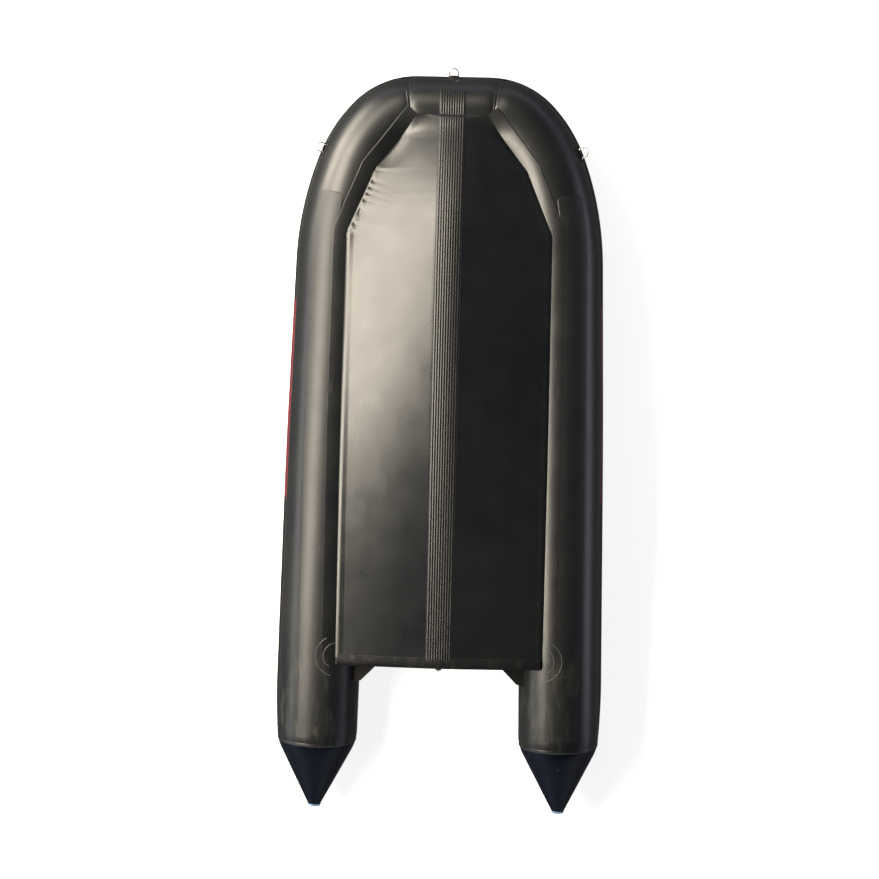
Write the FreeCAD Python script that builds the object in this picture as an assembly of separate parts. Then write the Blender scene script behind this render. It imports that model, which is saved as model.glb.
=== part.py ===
"""Soft-bottom inflatable sport boat, modelled keel up as it is stored ashore.

The boat is built in its own water frame turned over: x to port, y to the bow and
z to the keel, with the transom foot at y = 0 and the tube centres at z = 0.
At the end every piece is tipped onto the three places where the upturned boat
touches the floor.
"""
import FreeCAD
import Part
import math
import os

from FreeCAD import Vector

# Buoyancy tubes
tube_radius = 234.0
tube_half_spacing = 697.0
tube_toe_in = 1.2
bow_centre_run = 3153.0
bow_inner_radius = 30.0
bow_arc_radius = tube_radius + bow_inner_radius
bow_arc_end = 47.2
shoulder_arc_radius = 674.0
shoulder_arc_end = 69.7
quarter_arc_radius = 1710.0
sheer_start = 927.0
sheer_radius = 4635.0
sheer_angle = 7.9
bow_seam_angle = 7.0

# Rounded tube ends and tail cones
cone_seam_run = -466.0
cone_shoulder_radius = 237.0
cone_tip_radius = 34.0
cone_slope = 26.9
cone_fabric_start = 46.0
cone_cap_depth = 8.0
cone_cap_inset = 4.0

# Fabric bottom
skin_gap = 0.3
valley_sink = 1.2
flange_thickness = 1.6
tape_thickness = 1.0
tape_width = 24.0
flange_outer_angle = 2.0
flange_inner_angle = 38.0
transom_valley_offset = 103.0
aft_knuckle_turn = 84.3
aft_knuckle_offset = 51.0
fore_knuckle_turn = 70.2
fore_knuckle_offset = 115.0
corner_offset = 41.0
corner_inset = 13.0
keel_aft_rise = 42.0
keel_fore_rise = 150.0
keel_flat_half = 75.0
stem_pitch = 60.0

# Keel guard and tube wear strips
guard_thickness = 3.0
guard_ridges = 10
ridge_width = 6.0
ridge_height = 3.0
guard_bow_reach = 105.0
guard_bow_overlap = 12.0
wear_inner_angle = 1.0
wear_outer_angle = 40.0
wear_thickness = 2.5
wear_start_run = 2640.0

# Rub strake
strake_angle = 90.0
strake_half_angle = 9.5
strake_depth = 15.0
red_start = 1360.0
red_length = 1150.0

# Transom
transom_thickness = 40.0
transom_top = -172.0
transom_top_half = 400.0
transom_tube_reach = 60.0
well_half = 230.0
well_drop = 30.0
plate_width = 320.0
plate_height = 250.0
plate_thickness = 5.0
plate_top_gap = 12.0
holder_reach = 120.0
holder_length = 110.0
holder_height = 220.0
drain_radius = 17.0
drain_length = 16.0
drain_offset = 38.0

# Floor
floor_top = 118.0
floor_thickness = 15.0
floor_start = 12.0
floor_panel_count = 4
floor_joint = 4.0
floor_side_gap = 10.0
bow_board_length = 420.0
bow_board_gap = 120.0
bow_board_tip_half = 170.0
joiner_width = 44.0
joiner_thickness = 3.0
stringer_width = 34.0
stringer_inset = 14.0
stringer_gap = 2.0
stringer_height = 26.0

# Thwart seats and their tracks
seat_width = 240.0
seat_thickness = 22.0
fore_seat_run = 1800.0
aft_seat_run = 640.0
seat_travel = 150.0
track_angle = -128.0
track_length = 600.0
track_width = 60.0
track_thickness = 4.0
bead_radius = 6.0
bead_lift = 22.0
web_thickness = 4.0
slide_gap = 1.0
slot_gap = 2.0
clip_wall = 4.0

# Fittings on the tubes
pad_thickness = 3.0
oarlock_run = 830.0
oarlock_angle = 140.0
oarlock_pad_radius = 75.0
oarlock_boss_radius = 28.0
oarlock_boss_height = 30.0
oarlock_pin_radius = 8.0
oarlock_pin_gap = 0.3
oarlock_collar = 6.0
oarlock_bore_radius = 21.0
oarlock_wall = 7.0
oarlock_width = 16.0
handle_angle = 132.0
handle_runs = (250.0, 1900.0)
handle_length = 240.0
handle_width = 40.0
handle_thickness = 6.0
handle_lift = 34.0
valve_run = 210.0
valve_angle = -126.0
valve_radius = 33.0
valve_height = 8.0
valve_chamfer = 3.0
ring_patch_radius = 46.0
ring_patch_gap = 2.0
ring_rod = 4.0
rod_sides = 12
ring_half_width = 26.0
ring_reach = 44.0
ring_block = 15.0
ring_gap = 0.3
shoulder_ring_angle = 68.8
stern_patch_radius = 105.0
stern_patch_thickness = 1.6


def sine(angle):
    return math.sin(math.radians(angle))


def cosine(angle):
    return math.cos(math.radians(angle))


def tangent(angle):
    return math.tan(math.radians(angle))


# Places that follow from the sizes, in the unrolled plan: across, along and to the keel
quarter_arc_end = 90.0 - tube_toe_in
sheer_end = sheer_start + 2 * sheer_radius * tangent(sheer_angle / 2)
arcs_along = (bow_arc_radius * (1 - cosine(bow_arc_end))
              + shoulder_arc_radius * (cosine(bow_arc_end) - cosine(shoulder_arc_end))
              + quarter_arc_radius * (cosine(shoulder_arc_end) - cosine(quarter_arc_end)))
arcs_across = (bow_arc_radius * sine(bow_arc_end)
               + shoulder_arc_radius * (sine(shoulder_arc_end) - sine(bow_arc_end))
               + quarter_arc_radius * (sine(quarter_arc_end) - sine(shoulder_arc_end)))
arc_start_run = bow_centre_run - arcs_along
bow_half_length = tube_half_spacing - arc_start_run * tangent(tube_toe_in) - arcs_across


def unrolled(across, along, up):
    """Place of a point given along the sheer curve of the tubes."""
    if along <= sheer_start:
        return Vector(across, along, up)
    turn = min((along - sheer_start) / (sheer_end - sheer_start), 1.0) * sheer_angle
    y = sheer_start + (sheer_radius + up) * sine(turn)
    z = (sheer_radius + up) * cosine(turn) - sheer_radius
    past = max(along - sheer_end, 0.0)
    return Vector(across, y + past * cosine(turn), z - past * sine(turn))


def arc_centres():
    """Centres of the three arcs of the tube, in the unrolled plan, from the bow aft."""
    first = (bow_half_length, bow_centre_run - bow_arc_radius)
    step = bow_arc_radius - shoulder_arc_radius
    second = (first[0] + step * sine(bow_arc_end), first[1] + step * cosine(bow_arc_end))
    step = shoulder_arc_radius - quarter_arc_radius
    third = (second[0] + step * sine(shoulder_arc_end),
             second[1] + step * cosine(shoulder_arc_end))
    return first, second, third


def inboard_distance(across, along):
    """Distance from a point to the tube's centre line, measured inboard."""
    if across <= bow_half_length:
        return bow_centre_run - along
    radii = (bow_arc_radius, shoulder_arc_radius, quarter_arc_radius)
    ends = (bow_arc_end, shoulder_arc_end, quarter_arc_end)
    start = 0.0
    for (cx, cy), radius, end in zip(arc_centres(), radii, ends):
        angle = math.degrees(math.atan2(across - cx, along - cy))
        if start <= angle <= end:
            return radius - math.hypot(across - cx, along - cy)
        start = end
    line = tube_half_spacing - along * tangent(tube_toe_in)
    return (line - across) * cosine(tube_toe_in)


class Frame:
    """A place on the tube's centre line with its directions."""

    def __init__(self, point, ahead, out, keel):
        self.point = point
        self.ahead = ahead
        self.out = out
        self.keel = keel

    def turned(self, centre, axis, angle):
        turn = FreeCAD.Rotation(axis, angle)
        return Frame(centre + turn.multVec(self.point - centre), turn.multVec(self.ahead),
                     turn.multVec(self.out), turn.multVec(self.keel))

    def ray(self, angle):
        """Direction at an angle from the keel side, positive outboard."""
        return self.out * sine(angle) + self.keel * cosine(angle)


def tube_segments():
    """Segments of the port centre line from the stern seam to the bow's middle."""
    theta = sheer_angle
    first = Vector(-sine(tube_toe_in), cosine(tube_toe_in), 0)
    second = Vector(-sine(tube_toe_in), cosine(tube_toe_in) * cosine(theta),
                    -cosine(tube_toe_in) * sine(theta))
    bend = math.degrees(first.getAngle(second))
    reach = sheer_radius * tangent(theta / 2) / cosine(tube_toe_in)
    segments = [("line", (sheer_start - cone_seam_run) / cosine(tube_toe_in)),
                ("sheer", reach / tangent(bend / 2), bend, first.cross(second)),
                ("line", (arc_start_run - sheer_end) / cosine(tube_toe_in)),
                ("arc", quarter_arc_radius, quarter_arc_end - shoulder_arc_end),
                ("arc", shoulder_arc_radius, shoulder_arc_end - bow_arc_end),
                ("arc", bow_arc_radius, bow_arc_end),
                ("line", bow_half_length)]
    return segments


def segment_length(segment):
    if segment[0] == "line":
        return segment[1]
    return segment[1] * math.radians(segment[2])


def start_frame():
    across = tube_half_spacing - cone_seam_run * tangent(tube_toe_in)
    return Frame(Vector(across, cone_seam_run, 0),
                 Vector(-sine(tube_toe_in), cosine(tube_toe_in), 0),
                 Vector(cosine(tube_toe_in), sine(tube_toe_in), 0), Vector(0, 0, 1))


def advance(frame, segment, share):
    """Frame after a share of a segment, with the arc's centre, axis and angle."""
    if segment[0] == "line":
        point = frame.point + frame.ahead * (segment[1] * share)
        return Frame(point, frame.ahead, frame.out, frame.keel), None
    if segment[0] == "sheer":
        axis = Vector(segment[3])
        axis.normalize()
        inward = axis.cross(frame.ahead)
    else:
        axis = frame.keel
        inward = frame.out * -1
    centre = frame.point + inward * segment[1]
    angle = segment[2] * share
    moved = frame.turned(centre, axis, angle)
    if segment[0] == "sheer" and share >= 1.0:
        keel = Vector(0, sine(sheer_angle), cosine(sheer_angle))
        moved = Frame(moved.point, moved.ahead, moved.ahead.cross(keel), keel)
    return moved, (centre, axis, angle)


def frame_at(run):
    """Frame at a length along the centre line, measured from the stern seam."""
    frame = start_frame()
    for segment in tube_segments():
        length = segment_length(segment)
        if run <= length:
            return advance(frame, segment, run / length)[0]
        run = run - length
        frame = advance(frame, segment, 1.0)[0]
    return frame


def route_length():
    return sum(segment_length(segment) for segment in tube_segments())


def run_from_transom(along):
    """Length along the centre line of a place measured forward of the transom."""
    return (along - cone_seam_run) / cosine(tube_toe_in)


def bow_seam_run():
    turn = bow_arc_radius * math.radians(bow_seam_angle)
    return route_length() - bow_half_length - turn


def swept(profile, start, stop):
    """Solid swept by a profile of the tube's frame between two lengths."""
    solids = []
    done = 0.0
    frame = start_frame()
    for segment in tube_segments():
        length = segment_length(segment)
        low = max(start - done, 0.0)
        high = min(stop - done, length)
        if high - low > 0.01:
            here = advance(frame, segment, low / length)[0]
            face = profile(here)
            if segment[0] == "line":
                solids.append(face.extrude(here.ahead * (high - low)))
            else:
                centre, axis, angle = advance(frame, segment, (high - low) / length)[1]
                solids.append(face.revolve(centre, axis, angle))
        frame = advance(frame, segment, 1.0)[0]
        done = done + length
    return joined(solids)


def joined(solids):
    whole = solids[0]
    if len(solids) > 1:
        whole = whole.multiFuse(solids[1:])
    return whole.removeSplitter()


def disc_profile(radius):
    def profile(frame):
        return Part.Face(Part.Wire(Part.makeCircle(radius, frame.point, frame.ahead)))
    return profile


def band_profile(inner, outer, low, high):
    """Sector of a ring round the tube between two angles from the keel side."""
    def profile(frame):
        middle = (low + high) / 2

        def place(radius, angle):
            return frame.point + frame.ray(angle) * radius
        outside = Part.Arc(place(outer, low), place(outer, middle), place(outer, high)).toShape()
        inside = Part.Arc(place(inner, low), place(inner, middle), place(inner, high)).toShape()
        side_low = Part.LineSegment(place(inner, low), place(outer, low)).toShape()
        side_high = Part.LineSegment(place(inner, high), place(outer, high)).toShape()
        return Part.Face(Part.Wire(Part.__sortEdges__([outside, side_high, inside, side_low])))
    return profile


def polygon(points):
    return Part.makePolygon(list(points) + [points[0]])


def mirrored(shape):
    return shape.mirror(Vector(0, 0, 0), Vector(1, 0, 0))


def tube(radius):
    """Port tube of a given radius from the stern seam to the boat's middle."""
    return swept(disc_profile(radius), 0.0, route_length())


def tube_pair(radius):
    port = tube(radius)
    return joined([port, mirrored(port)])


def placed(shape, frame, angle, lift=0.0):
    """Shape built with x along the tube and z outwards, set on the tube."""
    out = frame.ray(angle)
    side = out.cross(frame.ahead)
    matrix = FreeCAD.Matrix(frame.ahead.x, side.x, out.x, frame.point.x,
                            frame.ahead.y, side.y, out.y, frame.point.y,
                            frame.ahead.z, side.z, out.z, frame.point.z, 0, 0, 0, 1)
    moved = shape.copy()
    moved.translate(Vector(0, 0, tube_radius + lift))
    return transformed(moved, matrix)


def transformed(shape, matrix):
    moved = shape.copy()
    moved.Placement = FreeCAD.Placement(matrix).multiply(moved.Placement)
    return moved


def tube_pad(run, angle, radius, thickness):
    """Round pad bonded to the tube, following its surface."""
    frame = frame_at(run)
    start = Frame(frame.point - frame.ahead * radius * 1.2, frame.ahead, frame.out, frame.keel)
    skin = band_profile(tube_radius + skin_gap, tube_radius + thickness,
                        angle - 50, angle + 50)(start)
    skin = skin.extrude(frame.ahead * radius * 2.4)
    cutter = Part.makeCylinder(radius, tube_radius, Vector(0, 0, -tube_radius / 2))
    return skin.common(placed(cutter, frame, angle))


def bow_room(radius):
    """Both sides of the tube near the bow's middle, at a given radius."""
    half = swept(disc_profile(radius), bow_seam_run() - handle_length / 2, route_length())
    return joined([half, mirrored(half)])


def tube_room(run, reach):
    """The tube with its skin gap round a fitting, on both sides at the bow."""
    if run + reach >= route_length():
        return bow_room(tube_radius + skin_gap)
    return swept(disc_profile(tube_radius + skin_gap), max(run - reach, 0.0), run + reach)


def bow_tube():
    half = swept(disc_profile(tube_radius), bow_seam_run(), route_length())
    return joined([half, mirrored(half)])


def side_tube():
    """Tube from the bow seam to its rounded end, where the cone's fabric starts."""
    straight = swept(disc_profile(tube_radius), 0.0, bow_seam_run())
    return joined([straight, stern_end().common(end_box(0.0, cone_fabric_start))])


def tail_cone():
    return stern_end().common(end_box(cone_fabric_start, cone_length()))


def cone_length():
    """Length of the tube's end, from its straight part to the flat tip."""
    rise = cone_shoulder_radius * (1 / cosine(cone_slope) - 1)
    return (tube_radius - cone_tip_radius + rise) / tangent(cone_slope)


def end_box(start, stop):
    """Box round the tube's end between two distances aft of the straight tube."""
    size = 4 * tube_radius
    return stern_placed(Part.makeBox(size, size, stop - start,
                                     Vector(-size / 2, -size / 2, -stop)))


def stern_end():
    """Round shoulder tangent to the tube, running out in a cone with a flat tip."""
    shoulder = cone_shoulder_radius
    base = Vector(0, 0, 0)
    rim = Vector(tube_radius, 0, 0)
    middle = Vector(tube_radius - shoulder * (1 - cosine(cone_slope / 2)), 0,
                    -shoulder * sine(cone_slope / 2))
    end = Vector(tube_radius - shoulder * (1 - cosine(cone_slope)), 0,
                 -shoulder * sine(cone_slope))
    tip = Vector(cone_tip_radius, 0, -cone_length())
    foot = Vector(0, 0, -cone_length())
    edges = [Part.LineSegment(base, rim).toShape(), Part.Arc(rim, middle, end).toShape(),
             Part.LineSegment(end, tip).toShape(), Part.LineSegment(tip, foot).toShape(),
             Part.LineSegment(foot, base).toShape()]
    body = Part.Face(Part.Wire(edges)).revolve(base, Vector(0, 0, 1), 360)
    return stern_placed(body)


def stern_placed(shape):
    """Shape built round z, set on the tube's axis at the stern seam."""
    frame = start_frame()
    matrix = FreeCAD.Matrix(frame.out.x, frame.keel.x * -1, frame.ahead.x, frame.point.x,
                            frame.out.y, frame.keel.y * -1, frame.ahead.y, frame.point.y,
                            frame.out.z, frame.keel.z * -1, frame.ahead.z, frame.point.z,
                            0, 0, 0, 1)
    return transformed(shape, matrix)


def cone_cap():
    disc = Part.makeCylinder(cone_tip_radius - cone_cap_inset, cone_cap_depth,
                             Vector(0, 0, -cone_length() - cone_cap_depth))
    rim = [edge for edge in disc.Edges if edge.BoundBox.ZMax < -cone_length() - 1]
    return stern_placed(disc.makeChamfer(cone_cap_depth / 3, rim))


def quarter_place(turn, offset):
    """Place inboard of the tube's quarter arc, across and along."""
    across, along = arc_centres()[2]
    reach = quarter_arc_radius - offset
    return across + reach * sine(turn), along + reach * cosine(turn)


def valley_corners():
    """Corners of the fabric bottom where it meets the tube, from aft to fore."""
    return ((tube_half_spacing - transom_valley_offset, 0.0),
            quarter_place(aft_knuckle_turn, aft_knuckle_offset),
            quarter_place(fore_knuckle_turn, fore_knuckle_offset),
            (bow_half_length - corner_inset, bow_centre_run - corner_offset))


def valley_half(along):
    """Half width of the fabric bottom, straight between its corners."""
    corners = valley_corners()
    for (wide, low), (narrow, high) in zip(corners, corners[1:]):
        if along <= high:
            return wide + (narrow - wide) * (along - low) / (high - low)
    return corners[-1][0]


def on_tube(across, along, lift):
    """Height of the tube's keel side over a point of the plan."""
    distance = inboard_distance(across, along)
    return math.sqrt((tube_radius + lift) ** 2 - distance ** 2)


def keel_height(along):
    share = min(along / (bow_centre_run - corner_offset), 1.0)
    crest = 0.73 ** 2 * 0.27 ** 0.75
    rise = keel_aft_rise * (1 - share) + keel_fore_rise * share ** 2 * (1 - share) ** 0.75 / crest
    return on_tube(valley_half(along), along, flange_thickness) + rise


def hull_stations():
    """Runs of the bottom's sections: its corners, the floor's joints and the stem."""
    corners = [along for across, along in valley_corners()]
    floor = [floor_start + floor_length() * step / (2 * floor_panel_count)
             for step in range(1, 2 * floor_panel_count)]
    floor = [along for along in floor if along < corners[1] - stem_pitch]
    shoulder = [corners[1] + (corners[2] - corners[1]) * step / 4 for step in range(1, 4)]
    stem = [corners[2] + (corners[3] - corners[2]) * sine(15 * step) for step in range(1, 6)]
    return sorted(corners + floor + shoulder + stem)


def hull_section(along):
    """Section of the bottom from its fabric to the underside of the floor."""
    wide = valley_half(along)
    edge = on_tube(wide, along, flange_thickness) - valley_sink
    keel = max(keel_height(along), edge + 0.5)
    outline = ((-wide, edge), (-keel_flat_half, keel), (keel_flat_half, keel), (wide, edge))
    fabric = [unrolled(across, along, up) for across, up in outline]
    low = floor_thickness + skin_gap
    return polygon([on_floor(-wide, along, low)] + fabric + [on_floor(wide, along, low)])


def hull_bottom():
    sections = [hull_section(along) for along in hull_stations()]
    body = Part.makeLoft(sections, True, True)
    return body.cut(tube_pair(tube_radius + flange_thickness + skin_gap))


def keel_line(lift):
    """Side view of the keel's middle at a height over its fabric."""
    points = []
    for along in hull_stations():
        here = unrolled(0, along, keel_height(along))
        step = 1.0 if along < bow_centre_run - corner_offset - 2 else -1.0
        near = unrolled(0, along + step, keel_height(along + step))
        slope = (near - here) * step
        normal = Vector(0, -slope.z, slope.y)
        normal.normalize()
        points.append(here + normal * lift)
    return points


def bow_line(lift):
    """Side view of the bow tube's keel side at a height over its surface."""
    centre = unrolled(0, bow_centre_run, 0)
    radius = tube_radius + flange_thickness + lift
    first = -corner_offset - guard_bow_overlap
    points = []
    for step in range(7):
        along = first + (guard_bow_reach - first) * step / 6
        angle = math.degrees(math.asin(along / radius)) + sheer_angle
        points.append(centre + Vector(0, radius * sine(angle), radius * cosine(angle)))
    return points


def guard_slab(line, low, high, start, stop):
    """Strip between two heights over a side line and two places across."""
    outline = line(low) + list(reversed(line(high)))
    face = Part.Face(polygon(outline))
    face.translate(Vector(start, 0, 0))
    return face.extrude(Vector(stop - start, 0, 0))


def keel_guard():
    """Rubber keel guard with ridges along it, carried on over the bow tube."""
    half = keel_flat_half
    pitch = (2 * half - ridge_width) / (guard_ridges - 1)
    strips = []
    for line in (keel_line, bow_line):
        strips.append(guard_slab(line, skin_gap, guard_thickness, -half, half))
        for step in range(guard_ridges):
            start = -half + step * pitch
            strips.append(guard_slab(line, guard_thickness / 2,
                                     guard_thickness + ridge_height, start,
                                     start + ridge_width))
    bow = bow_room(tube_radius + flange_thickness + skin_gap)
    return joined(strips).cut(bow).cut(hull_bottom())


def seam_flange():
    return swept(band_profile(tube_radius, tube_radius + flange_thickness,
                              -flange_inner_angle, -flange_outer_angle),
                 run_from_transom(-transom_thickness),
                 bow_seam_run() - tape_width / 2 - skin_gap)


def wear_strip():
    return swept(band_profile(tube_radius, tube_radius + wear_thickness,
                              wear_inner_angle, wear_outer_angle),
                 8.0, run_from_transom(wear_start_run))


def strake_profile(frame):
    """Half-round rubbing strip on the tube's side."""
    low = frame.point + frame.ray(strake_angle - strake_half_angle) * tube_radius
    high = frame.point + frame.ray(strake_angle + strake_half_angle) * tube_radius
    seat = frame.point + frame.ray(strake_angle) * tube_radius
    crest = frame.point + frame.ray(strake_angle) * (tube_radius + strake_depth)
    inside = Part.Arc(low, seat, high).toShape()
    lean = Vector(crest - seat) * 0.4
    outside_low = low + lean
    outside_high = high + lean
    edges = [inside, Part.LineSegment(high, outside_high).toShape(),
             Part.Arc(outside_high, crest, outside_low).toShape(),
             Part.LineSegment(outside_low, low).toShape()]
    return Part.Face(Part.Wire(edges))


def side_strake():
    aft = swept(strake_profile, 10.0, red_start - skin_gap)
    fore = swept(strake_profile, red_start + red_length + skin_gap, bow_seam_run())
    return Part.makeCompound([aft, fore])


def red_strake():
    return swept(strake_profile, red_start, red_start + red_length)


def bow_strake():
    half = swept(strake_profile, bow_seam_run() + skin_gap, route_length())
    return joined([half, mirrored(half)])


def bow_seam_tape():
    """Tape over the mitred seam between the bow piece and the side tube."""
    gap = strake_half_angle + 1
    profile = band_profile(tube_radius, tube_radius + tape_thickness,
                           strake_angle + gap, strake_angle + 360 - gap)
    middle = bow_seam_run()
    return swept(profile, middle - tape_width / 2, middle + tape_width / 2)


def transom():
    """Plywood board between the tubes, cut to the bottom's V and to a motor well."""
    keel = keel_height(0)
    wide = valley_half(0)
    reach = transom_tube_reach
    edge = on_tube(wide, 0, flange_thickness) - valley_sink
    outline = ((-wide, edge), (-keel_flat_half, keel), (keel_flat_half, keel), (wide, edge),
               (wide + reach, 0), (transom_top_half + 2 * reach, transom_top + 25),
               (transom_top_half, transom_top), (well_half + 25, transom_top),
               (well_half, transom_top + well_drop), (-well_half, transom_top + well_drop),
               (-well_half - 25, transom_top), (-transom_top_half, transom_top),
               (-transom_top_half - 2 * reach, transom_top + 25), (-wide - reach, 0))
    wire = polygon([Vector(across, -skin_gap, up) for across, up in outline])
    board = Part.Face(wire).extrude(Vector(0, -transom_thickness, 0))
    return board.cut(tube_pair(tube_radius + flange_thickness + skin_gap))


def motor_plate(face_run, thickness):
    low = transom_top + well_drop + plate_top_gap
    plate = Part.makeBox(plate_width, thickness, plate_height,
                         Vector(-plate_width / 2, face_run, low))
    upright = [edge for edge in plate.Edges
               if abs(edge.tangentAt(edge.FirstParameter).y) > 0.9]
    return plate.makeFillet(18, upright)


def transom_holder():
    """Moulded rubber triangle that bonds the transom to the tube."""
    inner = tube_half_spacing - tube_radius - holder_reach
    face_run = -transom_thickness - 2 * skin_gap
    wide = tube_half_spacing - transom_tube_reach
    outline = [Vector(inner, face_run, 0), Vector(wide, face_run, 0),
               Vector(wide, face_run - holder_length * 1.3, 0),
               Vector(inner + holder_reach * 0.9, face_run - holder_length, 0)]
    block = Part.Face(polygon(outline)).extrude(Vector(0, 0, holder_height))
    block.translate(Vector(0, 0, -holder_height / 2))
    return block.cut(tube(tube_radius + skin_gap))


def drain_valve():
    up = keel_height(0) - drain_offset
    body = Part.makeCylinder(drain_radius, drain_length,
                             Vector(0, -transom_thickness - 2 * skin_gap, up), Vector(0, -1, 0))
    grip = Part.makeBox(6, 8, drain_radius * 1.6,
                        Vector(-3, -transom_thickness - drain_length - 8,
                               up - drain_radius * 0.8))
    return body.fuse(grip)


def floor_half(along):
    line = tube_half_spacing - along * tangent(tube_toe_in)
    return line - math.sqrt(tube_radius ** 2 - floor_top ** 2) - floor_side_gap


def floor_length():
    """Length of all panels, from the transom to the bow board."""
    stop = bow_centre_run - tube_radius - bow_board_gap - bow_board_length
    return stop - floor_start


def floor_pitch():
    return floor_length() / floor_panel_count


def on_floor(across, along, lift):
    """Place over the floor's flat lengths, with the lift towards the keel."""
    step = math.floor((along - floor_start) / floor_pitch())
    step = min(max(step, 0), floor_panel_count - 1)
    start = floor_start + step * floor_pitch()
    first = unrolled(0, start, floor_top)
    ahead = unrolled(0, start + floor_pitch(), floor_top) - first
    share = (along - start) / floor_pitch()
    normal = Vector(0, -ahead.z, ahead.y)
    normal.normalize()
    return first + ahead * share + normal * lift + Vector(across, 0, 0)


def floor_block(sections, low, high):
    """Flat piece on the floor: runs with their sides across, between two heights."""
    outline = [(-half, along) for half, along in sections]
    outline = outline + [(half, along) for half, along in reversed(sections)]
    faces = []
    for lift in (low, high):
        faces.append(polygon([on_floor(across, along, lift) for across, along in outline]))
    return Part.makeLoft(faces, True, True)


def floor_panels():
    """Ribbed floor panels following the tubes' toe-in."""
    panels = []
    for step in range(floor_panel_count):
        start = floor_start + step * floor_pitch() + floor_joint / 2
        stop = start + floor_pitch() - floor_joint
        ends = [(floor_half(start), start), (floor_half(stop), stop)]
        panels.append(floor_block(ends, 0, floor_thickness))
    return panels


def bow_board():
    """Tapering board ahead of the last panel, under the raised bow."""
    start = floor_start + floor_length() + floor_joint / 2
    stop = start + bow_board_length
    half = floor_half(start) - 30
    middle = start + bow_board_length * 0.45
    sections = [(half, start), (half * 0.82, middle), (bow_board_tip_half, stop)]
    return floor_block(sections, 0, floor_thickness)


def strip(low_side, high_side, start, stop, low, high):
    """Straight bar on the floor between two runs of one panel."""
    sections = []
    for along in (start, stop):
        corners = ((low_side, low), (high_side, low), (high_side, high), (low_side, high))
        sections.append(polygon([on_floor(side, along, lift) for side, lift in corners]))
    return Part.makeLoft(sections, True, True)


def floor_joiners():
    """Strips over the joints, folded where the floor follows the sheer."""
    strips = []
    for step in range(1, floor_panel_count):
        middle = floor_start + step * floor_pitch()
        ahead = floor_half(middle + floor_pitch())
        half = ahead - stringer_inset - stringer_width - stringer_gap
        low = -joiner_thickness - skin_gap
        aft = strip(-half, half, middle - joiner_width / 2, middle - 0.01, low, -skin_gap)
        fore = strip(-half, half, middle + 0.01, middle + joiner_width / 2, low, -skin_gap)
        join = strip(-half, half, middle - joiner_thickness, middle - 0.001, low, -skin_gap)
        other = strip(-half, half, middle, middle + joiner_thickness, low, -skin_gap)
        strips.append(joined([aft, join, other, fore]))
    return strips


def stringer():
    """Aluminium side rail along the floor's edge, a length on each panel."""
    pieces = []
    for step in range(floor_panel_count):
        start = floor_start + step * floor_pitch() + floor_joint
        stop = start + floor_pitch() - 2 * floor_joint
        high = floor_half(stop) - stringer_inset
        pieces.append(strip(high - stringer_width, high, start, stop,
                            -stringer_height, -skin_gap))
    return pieces


def track_place(middle):
    """Centre of the seat track's bead, over the tube's inner deck quarter."""
    line = tube_half_spacing - (middle + track_length / 2) * tangent(tube_toe_in)
    radius = tube_radius + bead_lift
    return line + radius * sine(track_angle), radius * cosine(track_angle)


def seat_placed(shape, middle):
    """Shape built round a seat's middle, set in the boat at its run."""
    turn = min(max(middle - sheer_start, 0) / (sheer_end - sheer_start), 1.0) * sheer_angle
    place = FreeCAD.Placement(unrolled(0, middle, 0),
                              FreeCAD.Rotation(Vector(1, 0, 0), -turn))
    moved = shape.copy()
    moved.Placement = place.multiply(moved.Placement)
    return moved


def bar_profile(centre, out, half, near, far):
    """Rectangle across a direction, between two depths below a centre."""
    side = Vector(-out.z, 0, out.x)
    return Part.Face(polygon([centre + side * half - out * near,
                              centre - side * half - out * near,
                              centre - side * half - out * far,
                              centre + side * half - out * far]))


def seat_track(middle):
    """Bonded strip with a bead that the seat's clip slides along."""
    across, up = track_place(middle)
    out = Vector(sine(track_angle), 0, cosine(track_angle))
    centre = Vector(across, -track_length / 2, up)
    ahead = Vector(0, track_length, 0)
    deep = bead_lift + 16
    bead = Part.makeCylinder(bead_radius, track_length, centre, Vector(0, 1, 0))
    web = bar_profile(centre, out, web_thickness / 2, 0, deep).extrude(ahead)
    base = bar_profile(centre, out, track_width / 2, bead_lift - track_thickness, deep)
    whole = joined([bead, web, base.extrude(ahead)])
    return seat_placed(whole, middle).cut(tube(tube_radius + skin_gap))


def seat(middle):
    """Bench board whose ends clip round the beads of the tracks."""
    across, up = track_place(middle)
    bore = bead_radius + slide_gap
    half = across - bore
    board = Part.makeBox(2 * half, seat_width, seat_thickness,
                         Vector(-half, -seat_width / 2, up - seat_thickness / 2))
    long_edges = [edge for edge in board.Edges if edge.BoundBox.XLength > half]
    board = board.makeFillet(seat_thickness * 0.4, long_edges)
    clip = Part.makeCylinder(bore + clip_wall, seat_width * 0.7,
                             Vector(across, -seat_width * 0.35, up), Vector(0, 1, 0))
    hole = Part.makeCylinder(bore, seat_width * 1.1, Vector(across, -seat_width * 0.55, up),
                             Vector(0, 1, 0))
    out = Vector(sine(track_angle), 0, cosine(track_angle))
    corner = Vector(across, -seat_width * 0.55, up)
    slot = bar_profile(corner, out, web_thickness / 2 + slot_gap, 0, 30)
    slot = slot.extrude(Vector(0, seat_width * 1.1, 0))
    whole = joined([board, clip, mirrored(clip)])
    room = hole.fuse(slot)
    return seat_placed(whole.cut(room).cut(mirrored(room)), middle)


def oarlock_base():
    """Bonded pad with a boss that holds the oarlock's pin."""
    run = run_from_transom(oarlock_run)
    pad = tube_pad(run, oarlock_angle, oarlock_pad_radius, pad_thickness)
    boss = Part.makeCone(oarlock_boss_radius, oarlock_boss_radius * 0.7,
                         oarlock_boss_height - skin_gap, Vector(0, 0, skin_gap))
    hole = Part.makeCylinder(oarlock_pin_radius + oarlock_pin_gap, oarlock_boss_height + 20,
                             Vector(0, 0, 4))
    return joined([pad, placed(boss.cut(hole), frame_at(run), oarlock_angle)])


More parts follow.
